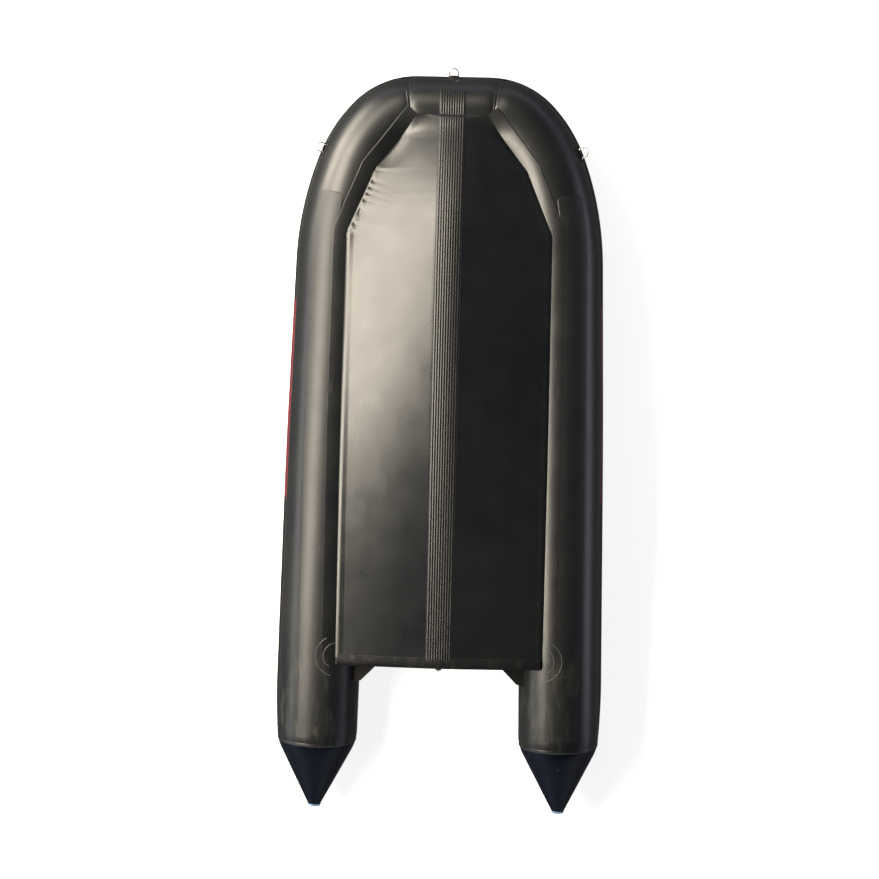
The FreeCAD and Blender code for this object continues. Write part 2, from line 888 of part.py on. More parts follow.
def oarlock():
    """Ring that holds the oar, on a pin that swivels in the boss."""
    pin = Part.makeCylinder(oarlock_pin_radius, oarlock_boss_height - 2, Vector(0, 0, 6))
    collar = Part.makeCylinder(oarlock_pin_radius * 1.7, oarlock_collar,
                               Vector(0, 0, oarlock_boss_height + oarlock_pin_gap))
    outer = oarlock_bore_radius + oarlock_wall
    middle = Vector(0, -oarlock_width / 2, oarlock_ring_height())
    ring = Part.makeCylinder(outer, oarlock_width, middle, Vector(0, 1, 0))
    bore = Part.makeCylinder(oarlock_bore_radius, oarlock_width * 2,
                             middle - Vector(0, oarlock_width / 2, 0), Vector(0, 1, 0))
    whole = joined([pin, collar, ring]).cut(bore)
    return placed(whole, frame_at(run_from_transom(oarlock_run)), oarlock_angle)


def oarlock_ring_height():
    return oarlock_boss_height + oarlock_collar + oarlock_bore_radius + oarlock_wall - 1


def oarlock_axis():
    frame = frame_at(run_from_transom(oarlock_run))
    return frame.point + frame.ray(oarlock_angle) * tube_radius, frame.ray(oarlock_angle)


def handle(run, angle, length, turned=False):
    """Arched moulded handle on two bonded feet."""
    half = length / 2
    foot = half - 38
    rise = [Vector(-foot, 0, pad_thickness + skin_gap),
            Vector(-foot + 34, 0, handle_lift), Vector(0, 0, handle_lift + 3),
            Vector(foot - 34, 0, handle_lift), Vector(foot, 0, pad_thickness + skin_gap)]
    low = [point + Vector(0, 0, -handle_thickness) for point in rise[1:4]]
    outline = [Vector(-half, 0, -2), rise[0] + Vector(-30, 0, 4), rise[0] + Vector(-6, 0, 4),
               rise[1], rise[2], rise[3], rise[4] + Vector(6, 0, 4),
               rise[4] + Vector(30, 0, 4), Vector(half, 0, -2), Vector(foot, 0, -2),
               low[2] + Vector(-2, 0, 0), low[1], low[0] + Vector(2, 0, 0), Vector(-foot, 0, -2)]
    face = Part.Face(polygon(outline))
    face.translate(Vector(0, -handle_width / 2, 0))
    bar = face.extrude(Vector(0, handle_width, 0))
    bar = placed(bar, frame_at(run), angle)
    return bar.cut(tube_room(run, length))


def side_handles():
    return [handle(run_from_transom(along), handle_angle, handle_length)
            for along in handle_runs]


def bow_handle():
    run = route_length()
    half = handle_length / 2
    foot = half - 38
    outline = [(-half, -2), (-half + 10, 7), (-foot - 4, 7), (-foot + 34, handle_lift),
               (foot - 34, handle_lift), (foot + 4, 7), (half - 10, 7), (half, -2),
               (foot, -2), (foot - 36, handle_lift - handle_thickness),
               (-foot + 36, handle_lift - handle_thickness), (-foot, -2)]
    face = Part.Face(polygon([Vector(x, -handle_width / 2, z) for x, z in outline]))
    bar = placed(face.extrude(Vector(0, handle_width, 0)), frame_at(run), 122)
    return bar.cut(bow_room(tube_radius + skin_gap))


def inflation_valve(run, angle):
    body = Part.makeCylinder(valve_radius, valve_height + 8, Vector(0, 0, -8))
    rim = [edge for edge in body.Edges if edge.BoundBox.ZMin > valve_height - 1]
    body = body.makeChamfer(valve_chamfer, rim)
    cap = Part.makeCylinder(valve_radius * 0.62, 5, Vector(0, 0, valve_height - 1))
    whole = placed(joined([body, cap]), frame_at(run), angle)
    return whole.cut(tube_room(run, 2 * valve_radius))


def ring_patch(run, angle):
    """Bonded patch with the two ears that hold a towing ring's bar."""
    pad = tube_pad(run, angle, ring_patch_radius, pad_thickness)
    reach = ring_half_width - ring_rod - 2
    ears = Part.makeBox(2 * reach, ring_block, ring_block * 0.9 - pad_thickness / 2,
                        Vector(-reach, -ring_block / 2, pad_thickness / 2))
    bore = Part.makeCylinder(ring_rod + ring_gap, 4 * reach,
                             Vector(-2 * reach, 0, ring_height()), Vector(1, 0, 0))
    ears = placed(ears.cut(bore), frame_at(run), angle)
    return joined([pad, ears])


def ring_angle():
    """Angle that keeps the ring's patch beside the rub strake."""
    room = math.degrees((ring_patch_radius + ring_patch_gap) / tube_radius)
    return strake_angle - strake_half_angle - room


def ring_height():
    return pad_thickness + ring_block * 0.35 + 1


def rod_section(centre, side, up):
    """Many-sided section of a round rod."""
    points = []
    for step in range(rod_sides):
        angle = 360.0 * (step + 0.5) / rod_sides
        points.append(centre + side * (ring_rod * cosine(angle)) + up * (ring_rod * sine(angle)))
    return Part.Face(polygon(points))


def towing_ring(run, angle):
    """D-shaped ring whose straight bar turns in the patch's ears."""
    base = ring_height()
    half = ring_half_width
    across = Vector(1, 0, 0)
    level = Vector(0, 1, 0)
    up = Vector(0, 0, 1)
    foot = Vector(half, 0, base)
    shoulder = Vector(half, 0, ring_reach - half + base)
    bar = rod_section(Vector(-half, 0, base), level, up).extrude(across * 2 * half)
    legs = [rod_section(foot, level, across).extrude(shoulder - foot),
            rod_section(foot - across * 2 * half, level, across).extrude(shoulder - foot)]
    arch = rod_section(shoulder, level, across)
    arch = arch.revolve(shoulder - across * half, level, -180)
    elbows = [Part.makeBox(2 * ring_rod * 0.9, 2 * ring_rod * 0.9, 2 * ring_rod * 0.9,
                           Vector(side * half - ring_rod * 0.9, -ring_rod * 0.9,
                                  base - ring_rod * 0.9)) for side in (-1, 1)]
    whole = joined([bar, arch] + legs + elbows)
    return placed(whole, frame_at(run), angle)


def shoulder_ring_run():
    turn = math.radians(shoulder_arc_end - shoulder_ring_angle)
    lengths = [segment_length(segment) for segment in tube_segments()]
    return sum(lengths[:4]) + shoulder_arc_radius * turn


def stern_patch():
    """Round reinforcement where the bottom, the transom and the tube meet."""
    skin = swept(band_profile(tube_radius, tube_radius + stern_patch_thickness,
                              -60, -flange_outer_angle - 0.5),
                 run_from_transom(-2 * stern_patch_radius), run_from_transom(-transom_thickness - 1))
    cutter = Part.makeCylinder(stern_patch_radius, tube_radius, Vector(0, 0, -tube_radius / 2))
    place = frame_at(run_from_transom(-transom_thickness - 30))
    return skin.common(placed(cutter, place, -24))


def rest_tilt():
    """Angle that lays the stern's deck side and the raised bow on one floor."""
    centre = unrolled(0, bow_centre_run, 0)
    span = centre.y - cone_seam_run
    drop = tube_radius + centre.z
    size = math.hypot(span, drop)
    lean = math.atan2(drop, span)
    return math.degrees(math.asin(tube_radius / size) - lean)


def pieces():
    """All pieces by name, in the upturned water frame."""
    centre_run = route_length()
    shoulder_run = shoulder_ring_run()
    port_side = {
        "tube": side_tube(), "tail_cone": tail_cone(), "cone_cap": cone_cap(),
        "wear_strip": wear_strip(), "seam_flange": seam_flange(),
        "rub_strake": side_strake(), "red_strake": red_strake(),
        "transom_holder": transom_holder(), "stern_patch": stern_patch(),
        "stringer": Part.makeCompound(stringer()),
        "seat_tracks": Part.makeCompound([seat_track(fore_seat_run),
                                          seat_track(aft_seat_run)]),
        "oarlock_base": oarlock_base(), "oarlock": oarlock(),
        "handles": Part.makeCompound(side_handles()),
        "valve": inflation_valve(run_from_transom(valve_run), valve_angle),
        "ring_patch": ring_patch(shoulder_run, ring_angle()),
        "ring": towing_ring(shoulder_run, ring_angle()),
    }
    whole = {}
    for name, shape in port_side.items():
        whole["port_" + name] = shape
        whole["starboard_" + name] = mirrored(shape)
    tape = bow_seam_tape()
    whole["bow_tube"] = bow_tube()
    whole["hull_bottom"] = hull_bottom()
    whole["keel_guard"] = keel_guard()
    whole["bow_strake"] = bow_strake()
    whole["bow_seam_tapes"] = Part.makeCompound([tape, mirrored(tape)])
    whole["transom"] = transom()
    whole["outer_motor_plate"] = motor_plate(-transom_thickness - 2 * skin_gap
                                             - plate_thickness, plate_thickness)
    whole["inner_motor_plate"] = motor_plate(0.0, plate_thickness)
    whole["drain_valve"] = drain_valve()
    whole["floor_panels"] = Part.makeCompound(floor_panels())
    whole["bow_board"] = bow_board()
    whole["floor_joiners"] = Part.makeCompound(floor_joiners())
    whole["fore_seat"] = seat(fore_seat_run)
    whole["aft_seat"] = seat(aft_seat_run)
    whole["bow_handle"] = bow_handle()
    whole["bow_valve"] = inflation_valve(centre_run, -110)
    whole["bow_ring_patch"] = ring_patch(centre_run, ring_angle())
    whole["bow_ring"] = towing_ring(centre_run, ring_angle())
    return whole


def main():
    os.makedirs("parts", exist_ok=True)
    whole = pieces()
    tilt = FreeCAD.Placement(Vector(0, 0, 0), FreeCAD.Rotation(Vector(1, 0, 0), rest_tilt()))
    box = FreeCAD.BoundBox()
    for shape in whole.values():
        shape.Placement = tilt.multiply(shape.Placement)
        box.add(shape.optimalBoundingBox(False, False))
    print("tilt", round(rest_tilt(), 4), "box", box)
    shift = Vector(0, -(box.YMin + box.YMax) / 2, -box.ZMin)
    print("shift", shift)
    for name, shape in sorted(whole.items()):
        shape.translate(shift)
        if not shape.isValid() or not shape.Solids:
            print("faulty", name, shape.isValid(), len(shape.Solids))
        shape.exportStep("parts/" + name + ".step")


main()
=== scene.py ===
"""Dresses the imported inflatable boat: fabric tubes and bottom, fittings, finishes and studio.

The boat lies keel up. Pieces are shaped in the boat's own frame, in metres: x to port,
y to the bow and z to the keel, with the transom at y = 0 and the tube centres at z = 0.
Each finished piece is then tipped onto the floor as the solids are.
"""
import math
from collections import namedtuple
from contextlib import contextmanager

import bpy
from mathutils import Matrix, Vector, noise


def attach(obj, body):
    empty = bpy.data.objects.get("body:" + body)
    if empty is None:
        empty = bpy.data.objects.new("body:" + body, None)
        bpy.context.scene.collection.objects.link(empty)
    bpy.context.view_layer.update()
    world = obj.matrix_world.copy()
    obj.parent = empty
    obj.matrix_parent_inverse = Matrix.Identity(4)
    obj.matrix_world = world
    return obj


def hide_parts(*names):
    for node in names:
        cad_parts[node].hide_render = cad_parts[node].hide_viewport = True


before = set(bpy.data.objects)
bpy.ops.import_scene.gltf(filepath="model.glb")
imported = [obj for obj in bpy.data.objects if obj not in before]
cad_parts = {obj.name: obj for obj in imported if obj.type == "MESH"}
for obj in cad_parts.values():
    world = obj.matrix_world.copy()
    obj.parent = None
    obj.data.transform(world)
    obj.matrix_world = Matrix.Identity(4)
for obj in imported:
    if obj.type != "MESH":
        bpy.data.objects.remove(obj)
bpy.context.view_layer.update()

bl_info = {
    "name": "Inflatable boat dresser",
    "version": (1, 0, 0),
    "blender": (4, 5, 0),
    "location": "3D View > Sidebar > Boat",
    "description": "Builds the fabric, fittings, finishes and studio of an inflatable boat",
    "category": "Object",
}

# Tilt in degrees and shift of the boat as it lies on the floor
REST_TILT = 4.1707
REST_SHIFT = Vector((0.0, -1.2495786, 0.2682184))

# Points round a tube, bonded fabric over its surface, and how round the keel is
TUBE_SIDES = 96
BOND_LIFT = 0.0016
KEEL_ROUNDING = 0.6

Station = namedtuple("Station", "point ahead out keel")
Length = namedtuple("Length", "size radius angle")
Bend = namedtuple("Bend", "radius start end")


def length_property(name, default, description):
    """Size in metres."""
    return bpy.props.FloatProperty(name=name, default=default, description=description,
                                   unit="LENGTH")


def angle_property(name, degrees, description):
    """Angle, given in degrees."""
    return bpy.props.FloatProperty(name=name, default=math.radians(degrees),
                                   description=description, subtype="ANGLE")


def count_property(name, default, description):
    """Number of like things."""
    return bpy.props.IntProperty(name=name, default=default, description=description)


def colour_property(name, default, description):
    """Colour as an sRGB hex value."""
    return bpy.props.StringProperty(name=name, default=default, description=description)


class TubeSizes(bpy.types.PropertyGroup):
    """Sizes of the buoyancy tubes and the line they follow."""
    radius: length_property("Tube radius", 0.234, "Radius of a full tube")
    half_spacing: length_property("Half spacing", 0.697,
                                  "Tube centre from the middle, at the transom")
    toe_in: angle_property("Toe-in", 1.2, "Lean of each tube towards the bow's middle")
    stern_end: length_property("Stern end", -0.466,
                               "Where the straight tube ends behind the transom")
    bow_run: length_property("Bow", 3.153, "Tube centre at the bow, from the transom")
    bow_radius: length_property("Bow bend", 0.264, "Radius of the tightest bend")
    bow_angle: angle_property("Bow bend end", 47.2, "Turn at which the tightest bend ends")
    shoulder_radius: length_property("Shoulder bend", 0.674, "Radius of the shoulder's bend")
    shoulder_angle: angle_property("Shoulder bend end", 69.7,
                                   "Turn at which the shoulder's bend ends")
    quarter_radius: length_property("Quarter bend", 1.710, "Radius of the long bend of the side")
    sheer_start: length_property("Sheer start", 0.927,
                                 "Where the tubes begin to rise to the bow")
    sheer_radius: length_property("Sheer radius", 4.635, "Radius of the rise")
    sheer_angle: angle_property("Sheer angle", 7.9, "Slope of the raised bow")
    seam_angle: angle_property("Bow seam", 7.0, "Turn at which the bow piece is seamed on")
    panel_joint: length_property("Panel joint", 1.485,
                                 "Joint of each tube's fabric, from the transom")


class ConeSizes(bpy.types.PropertyGroup):
    """Sizes of the rounded tube ends and their cones."""
    shoulder_radius: length_property("Shoulder radius", 0.237,
                                     "Rounding from the tube to the cone")
    tip_radius: length_property("Tip radius", 0.034, "Radius of the flat tip")
    slope: angle_property("Slope", 26.9, "Slope of the cone's side")
    fabric_start: length_property("Cone fabric start", 0.046, "Seam of the dark blue fabric")


class BottomSizes(bpy.types.PropertyGroup):
    """Sizes of the fabric bottom, its flanges and the keel guard."""
    transom_offset: length_property("Valley at the transom", 0.103,
                                    "Inboard of the tube's centre line")
    aft_turn: angle_property("Aft corner turn", 84.3,
                             "Place of the aft corner along the long bend")
    aft_offset: length_property("Aft corner offset", 0.051, "Inboard of the tube's centre line")
    fore_turn: angle_property("Fore corner turn", 70.2,
                              "Place of the fore corner along the long bend")
    fore_offset: length_property("Fore corner offset", 0.115,
                                 "Inboard of the tube's centre line")
    bow_offset: length_property("Bow edge offset", 0.041, "Aft of the bow tube's centre line")
    bow_inset: length_property("Bow corner inset", 0.013,
                               "Inside the end of the straight bow tube")
    aft_rise: length_property("Keel rise aft", 0.042, "Keel over the valley at the transom")
    fore_rise: length_property("Keel rise fore", 0.150, "Extra keel rise where it is deepest")
    guard_half: length_property("Guard half width", 0.075, "Half width of the keel guard")
    guard_reach: length_property("Guard reach", 0.105, "Guard past the bow tube's centre line")
    ridges: count_property("Guard ridges", 10, "Ridges along the keel guard")
    flange_width: length_property("Flange width", 0.080, "Flange outside the valley")


class StrakeSizes(bpy.types.PropertyGroup):
    """Lengths of the rubbing strake, as runs along the tube from its aft end."""
    start: length_property("Strake start", 0.010, "Aft end of the strake")
    red_start: length_property("Red start", 1.36, "Aft end of the red length")
    red_stop: length_property("Red stop", 2.51, "Fore end of the red length")
    gap: length_property("Joint gap", 0.0003, "Gap between two lengths")


class FloorSizes(bpy.types.PropertyGroup):
    """Sizes of the aluminium floor panels and their non-slip ribs."""
    start: length_property("Floor start", 0.012,
                           "Aft end of the first panel, from the transom")
    pitch: length_property("Panel pitch", 0.59175, "Distance from one panel to the next")
    panels: count_property("Panels", 4, "Floor panels")
    deck: length_property("Deck face", 0.118, "Deck face on the keel side of the tube centres")
    edge_margin: length_property("Edge margin", 0.074,
                                 "Ribs kept clear of the tubes and side rails")
    end_margin: length_property("End margin", 0.028, "Ribs kept clear of the joint strips")
    ribs: count_property("Ribs", 13, "Ribs on each half of a panel")


class Finishes(bpy.types.PropertyGroup):
    """Colours a user would change."""
    tube: colour_property("Tube fabric", "#17191b", "Colour of the coated tube fabric")
    bottom: colour_property("Bottom fabric", "#15181b", "Colour of the coated bottom fabric")
    cone: colour_property("Cone fabric", "#040816", "Colour of the tail cones")
    band: colour_property("Rubbing band", "#561620",
                          "Colour of the middle length of rubbing strake")


class StudioSizes(bpy.types.PropertyGroup):
    """Camera, lights and floor."""
    lens: bpy.props.FloatProperty(name="Lens", default=70.13, subtype="DISTANCE_CAMERA",
                                  description="Focal length on a 36 mm sensor")
    camera_height: length_property("Camera height", 10.3, "Camera over the floor")
    floor_size: length_property("Floor size", 400.0, "Side of the pale floor")


def tube_sizes():
    return bpy.context.scene.boat_tubes


def bottom_sizes():
    return bpy.context.scene.boat_bottom


def cone_sizes():
    return bpy.context.scene.boat_cones


# Line of the tubes

def sheer_end():
    """Place along the boat where the rise ends."""
    sizes = tube_sizes()
    return sizes.sheer_start + 2 * sizes.sheer_radius * math.tan(sizes.sheer_angle / 2)


def bends():
    """The three bends in the unrolled plan, from the bow aft, with their turns off the bow."""
    sizes = tube_sizes()
    return (Bend(sizes.bow_radius, 0.0, sizes.bow_angle),
            Bend(sizes.shoulder_radius, sizes.bow_angle, sizes.shoulder_angle),
            Bend(sizes.quarter_radius, sizes.shoulder_angle, math.pi / 2 - sizes.toe_in))


def bend_reach():
    """Reach of the bends across and along, from the long one's start to the bow."""
    across = 0.0
    along = 0.0
    for bend in bends():
        across += bend.radius * (math.sin(bend.end) - math.sin(bend.start))
        along += bend.radius * (math.cos(bend.start) - math.cos(bend.end))
    return across, along


def bow_half_length():
    """Half of the straight tube across the bow."""
    sizes = tube_sizes()
    across, along = bend_reach()
    return sizes.half_spacing - (sizes.bow_run - along) * math.tan(sizes.toe_in) - across


def path_start():
    """Station at the aft end of the port tube's straight part."""
    sizes = tube_sizes()
    lean = sizes.toe_in
    point = Vector((sizes.half_spacing - sizes.stern_end * math.tan(lean), sizes.stern_end, 0.0))
    return Station(point, Vector((-math.sin(lean), math.cos(lean), 0.0)),
                   Vector((math.cos(lean), math.sin(lean), 0.0)), Vector((0.0, 0.0, 1.0)))


def sheer_turn():
    """Axis and angle of the tube's rise towards the bow."""
    sizes = tube_sizes()
    first = path_start().ahead
    level = math.cos(sizes.toe_in)
    second = Vector((-math.sin(sizes.toe_in), level * math.cos(sizes.sheer_angle),
                     -level * math.sin(sizes.sheer_angle)))
    return first.cross(second).normalized(), first.angle(second)


def path_lengths():
    """Lengths of the port tube's centre line: straight ones have no radius."""
    sizes = tube_sizes()
    level = math.cos(sizes.toe_in)
    angle = sheer_turn()[1]
    reach = sizes.sheer_radius * math.tan(sizes.sheer_angle / 2) / level
    radius = reach / math.tan(angle / 2)
    fore = sizes.bow_run - bend_reach()[1] - sheer_end()
    lengths = [Length((sizes.sheer_start - sizes.stern_end) / level, None, 0.0),
               Length(radius * angle, radius, angle), Length(fore / level, None, 0.0)]
    for bend in reversed(bends()):
        turn = bend.end - bend.start
        lengths.append(Length(bend.radius * turn, bend.radius, turn))
    return lengths + [Length(bow_half_length(), None, 0.0)]


def bend_centre(station, index, length):
    """Centre and axis of a bend of the centre line."""
    if index == 1:
        axis = sheer_turn()[0]
        return station.point + axis.cross(station.ahead) * length.radius, axis
    return station.point - station.out * length.radius, station.keel


def advanced(station, index, length, share):
    """Station after a share of one length of the centre line."""
    if length.radius is None:
        return station._replace(point=station.point + station.ahead * (length.size * share))
    centre, axis = bend_centre(station, index, length)
    turn = Matrix.Rotation(length.angle * share, 3, axis)
    moved = Station(centre + turn @ (station.point - centre), turn @ station.ahead,
                    turn @ station.out, turn @ station.keel)
    if index == 1 and share >= 1.0:
        angle = tube_sizes().sheer_angle
        keel = Vector((0.0, math.sin(angle), math.cos(angle)))
        moved = moved._replace(out=moved.ahead.cross(keel), keel=keel)
    return moved


def station_at(run):
    """Station at a run from the aft end, or past the ends in line."""
    station = path_start()
    for index, length in enumerate(path_lengths()):
        if run <= length.size:
            return advanced(station, index, length, run / length.size)
        run -= length.size
        station = advanced(station, index, length, 1.0)
    return station._replace(point=station.point + station.ahead * run)


def route_length():
    return sum(length.size for length in path_lengths())


def seam_run():
    """Run of the bow piece's seam."""
    sizes = tube_sizes()
    return route_length() - bow_half_length() - sizes.bow_radius * sizes.seam_angle


def run_at(along):
    """Run along the tube of a place measured forward of the transom."""
    sizes = tube_sizes()
    return (along - sizes.stern_end) / math.cos(sizes.toe_in)


def ray(station, degrees):
    """Direction round the tube, from the keel side and positive outboard."""
    angle = math.radians(degrees)
    return station.out * math.sin(angle) + station.keel * math.cos(angle)


def tube_point(run, degrees, lift):
    """Place on the tube, lifted off its surface."""
    station = station_at(run)
    return station.point + ray(station, degrees) * (tube_sizes().radius + lift)


def unrolled(across, along, up):
    """Place over the rising line of the tubes."""
    sizes = tube_sizes()
    if along <= sizes.sheer_start:
        return Vector((across, along, up))
    share = min((along - sizes.sheer_start) / (sheer_end() - sizes.sheer_start), 1.0)
    turn = share * sizes.sheer_angle
    past = max(along - sheer_end(), 0.0)
    reach = sizes.sheer_radius + up
    return Vector((across, sizes.sheer_start + reach * math.sin(turn) + past * math.cos(turn),
                   reach * math.cos(turn) - sizes.sheer_radius - past * math.sin(turn)))


def bend_centres():
    """Centres of the bends in the unrolled plan, from the bow aft."""
    sizes = tube_sizes()
    x, y = bow_half_length(), sizes.bow_run - sizes.bow_radius
    centres = [(x, y)]
    for near, far in zip(bends(), bends()[1:]):
        x += (near.radius - far.radius) * math.sin(near.end)
        y += (near.radius - far.radius) * math.cos(near.end)
        centres.append((x, y))
    return centres


def inboard_distance(across, along):
    """Distance inboard of the tube's centre line in the unrolled plan."""
    sizes = tube_sizes()
    across = abs(across)
    if across <= bow_half_length():
        return sizes.bow_run - along
    for (x, y), bend in zip(bend_centres(), bends()):
        turn = math.atan2(across - x, along - y)
        if bend.start <= turn <= bend.end:
            return bend.radius - math.hypot(across - x, along - y)
    line = sizes.half_spacing - along * math.tan(sizes.toe_in)
    return (line - across) * math.cos(sizes.toe_in)


def tube_height(across, along, lift):
    """Height of the tube's keel side, with a lift off it, in the unrolled plan."""
    distance = inboard_distance(across, along)
    return math.sqrt(max((tube_sizes().radius + lift) ** 2 - distance ** 2, 0.0))


def quarter_place(turn, offset):
    """Place in the plan inboard of the long bend, at a turn of it."""
    x, y = bend_centres()[2]
    reach = tube_sizes().quarter_radius - offset
    return Vector((x + reach * math.sin(turn), y + reach * math.cos(turn)))


def valley_corners():
    """Corners of the bottom's edge in the unrolled plan, from the transom forward."""
    sizes = bottom_sizes()
    return [Vector((tube_sizes().half_spacing - sizes.transom_offset, 0.0)),
            quarter_place(sizes.aft_turn, sizes.aft_offset),
            quarter_place(sizes.fore_turn, sizes.fore_offset),
            Vector((bow_half_length() - sizes.bow_inset,
                    tube_sizes().bow_run - sizes.bow_offset))]


def offset_corners(distance):
    """The bottom's edge moved outwards by a distance."""
    corners = valley_corners()
    sides = [(b - a).normalized() for a, b in zip(corners, corners[1:])]
    moved = []
    for index, corner in enumerate(corners):
        before = sides[max(index - 1, 0)]
        after = sides[min(index, len(sides) - 1)]
        out = Vector((before.y + after.y, -before.x - after.x)).normalized()
        scale = out.dot(Vector((after.y, -after.x)))
        moved.append(corner + out * (distance / scale))
    return moved


def along_corners(corners, share):
    """Place at a share of a line of corners."""
    place = min(share * (len(corners) - 1), len(corners) - 1.000001)
    index = int(place)
    return corners[index].lerp(corners[index + 1], place - index)


def valley_half(along):
    """Half width of the bottom between the valleys."""
    corners = valley_corners()
    for low, high in zip(corners, corners[1:]):
        if along <= high.y:
            return low.x + (high.x - low.x) * (along - low.y) / (high.y - low.y)
    return corners[-1].x


def keel_height(along):
    """Height of the keel, deepest where it rises to the bow."""
    deepest = 0.73
    fade = 0.75
    sizes = bottom_sizes()
    share = min(max(along / (tube_sizes().bow_run - sizes.bow_offset), 0.0), 1.0)
    crest = deepest ** 2 * (1 - deepest) ** fade
    rise = (sizes.aft_rise * (1 - share)
            + sizes.fore_rise * share ** 2 * (1 - share) ** fade / crest)
    return tube_height(valley_half(along), along, BOND_LIFT) + rise


# Modelling

def start_fresh():
    """Leaves edit mode with nothing selected."""
    if bpy.context.object and bpy.context.object.mode != "OBJECT":
        bpy.ops.object.mode_set(mode="OBJECT")
    bpy.ops.object.select_all(action="DESELECT")


def chosen(piece):
    """Makes a piece the only one that is selected."""
    start_fresh()
    piece.select_set(True)
    bpy.context.view_layer.objects.active = piece


@contextmanager
def editing(piece):
    """Edit mode with the whole mesh selected."""
    chosen(piece)
    bpy.ops.object.mode_set(mode="EDIT")
    bpy.ops.mesh.select_all(action="SELECT")
    yield
    bpy.ops.object.mode_set(mode="OBJECT")


def grid_piece(name, columns, rows, place, closed=False):
    """Grid whose points go where place(u, v) says, with u and v from 0 to 1."""
    start_fresh()
    bpy.ops.mesh.primitive_grid_add(x_subdivisions=columns, y_subdivisions=rows, size=1.0,
                                    location=(0.5, 0.5, 0.0))
    bpy.ops.object.transform_apply(location=True)
    piece = bpy.context.object
    piece.name = name
    for vertex in piece.data.vertices:
        vertex.co = place(vertex.co.x, vertex.co.y)
    if closed:
        with editing(piece):
            bpy.ops.mesh.remove_doubles(threshold=0.00002)
    return piece


def ring_piece(name, station, radius, sides=TUBE_SIDES):
    """Circle round the tube at a station, left in edit mode with all of it selected."""
    start_fresh()
    turn = Matrix((station.out, -station.keel, station.ahead)).transposed()
    bpy.ops.mesh.primitive_circle_add(vertices=sides, radius=radius, location=station.point,
                                      rotation=turn.to_euler())
    bpy.context.object.name = name
    bpy.ops.object.mode_set(mode="EDIT")
    bpy.ops.mesh.select_all(action="SELECT")
    return bpy.context.object


def extruded(move):
    """Draws what is selected out by a move."""
    bpy.ops.mesh.extrude_region_move(TRANSFORM_OT_translate={"value": move})


def swept(start, stop, pitch):
    """Draws the selected ring along the tube's centre line between two runs."""
    station = path_start()
    done = 0.0
    for index, length in enumerate(path_lengths()):
        low = max(start - done, 0.0)
        high = min(stop - done, length.size)
        if high - low > 0.0001:
            steps = max(round((high - low) / pitch), 1)
            if length.radius is None:
                for step in range(steps):
                    extruded(station.ahead * ((high - low) / steps))
            else:
                centre, axis = bend_centre(station, index, length)
                bpy.ops.mesh.spin(steps=steps, angle=(high - low) / length.radius,
                                  center=centre, axis=-axis)
        station = advanced(station, index, length, 1.0)
        done += length.size


def modified(piece, kind, **settings):
    """Adds a modifier with its settings and applies it."""
    chosen(piece)
    modifier = piece.modifiers.new(kind.title(), kind)
    for name, value in settings.items():
        setattr(modifier, name, value)
    bpy.ops.object.modifier_apply(modifier=modifier.name)


def applied(piece):
    """Leaves a piece unmoved and unscaled, with its mesh where it was seen."""
    chosen(piece)
    bpy.ops.object.transform_apply(location=True, rotation=True, scale=True)


def outward(piece):
    """Closes doubled points and turns every face outwards."""
    applied(piece)
    with editing(piece):
        bpy.ops.mesh.remove_doubles(threshold=0.00001)
        bpy.ops.mesh.normals_make_consistent(inside=False)


def capped(piece):
    """Fills the open ends of a piece."""
    with editing(piece):
        bpy.ops.mesh.region_to_loop()
        bpy.ops.mesh.fill_holes(sides=0)


def thickened(piece, thickness):
    """Gives a sheet its thickness and closes its edges."""
    modified(piece, "SOLIDIFY", thickness=thickness, offset=-1.0)
    outward(piece)


def mirrored(piece, name):
    """Copy on the other side of the boat with its own mesh."""
    chosen(piece)
    bpy.ops.object.duplicate()
    copy = bpy.context.object
    copy.name = name
    copy.scale.x = -1.0
    bpy.ops.object.transform_apply(location=True, rotation=True, scale=True)
    with editing(copy):
        bpy.ops.mesh.flip_normals()
    return copy


def joined(name, parts):
    """One piece made of several."""
    start_fresh()
    for part in parts:
        part.select_set(True)
    bpy.context.view_layer.objects.active = parts[0]
    bpy.ops.object.join()
    parts[0].name = name
    return parts[0]


def finished(piece, look, nodes=(), smooth=35):
    """Tips a piece onto the floor, shades it and ties it to the hull and its finish."""
    applied(piece)
    piece.matrix_world = Matrix.Translation(REST_SHIFT) @ Matrix.Rotation(
        math.radians(REST_TILT), 4, "X")
    bpy.ops.object.transform_apply(location=True, rotation=True, scale=True)
    bpy.ops.object.shade_smooth_by_angle(angle=math.radians(smooth))
    piece.data.name = piece.name
    piece.data.materials.clear()
    piece.data.materials.append(finish(look))
    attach(piece, "hull")
    if nodes:
        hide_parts(*nodes)


def both_sides(piece, name, look, node=None, smooth=35):
    """Finishes a port piece and its starboard copy."""
    piece.name = "port_" + name
    other = mirrored(piece, "starboard_" + name)
    for side, made in (("port_", piece), ("starboard_", other)):
        finished(made, look, (side + node,) if node else (), smooth)


# Materials

def linear(code):
    """Linear colour of an sRGB hex value."""
    values = [int(code[place:place + 2], 16) / 255 for place in (1, 3, 5)]
    values = [value / 12.92 if value <= 0.04045 else ((value + 0.055) / 1.055) ** 2.4
              for value in values]
    return (*values, 1.0)


def add_node(tree, kind, links=(), **settings):
    """Adds a node; settings are its properties or inputs, links pair inputs with outputs."""
    node = tree.nodes.new(kind)
    for name, value in settings.items():
        if name in node.inputs:
            node.inputs[name].default_value = value
        elif name.replace("_", " ").title() in node.inputs:
            node.inputs[name.replace("_", " ").title()].default_value = value
        else:
            setattr(node, name, value)
    for name, source in links:
        tree.links.new(source, node.inputs[name])
    return node


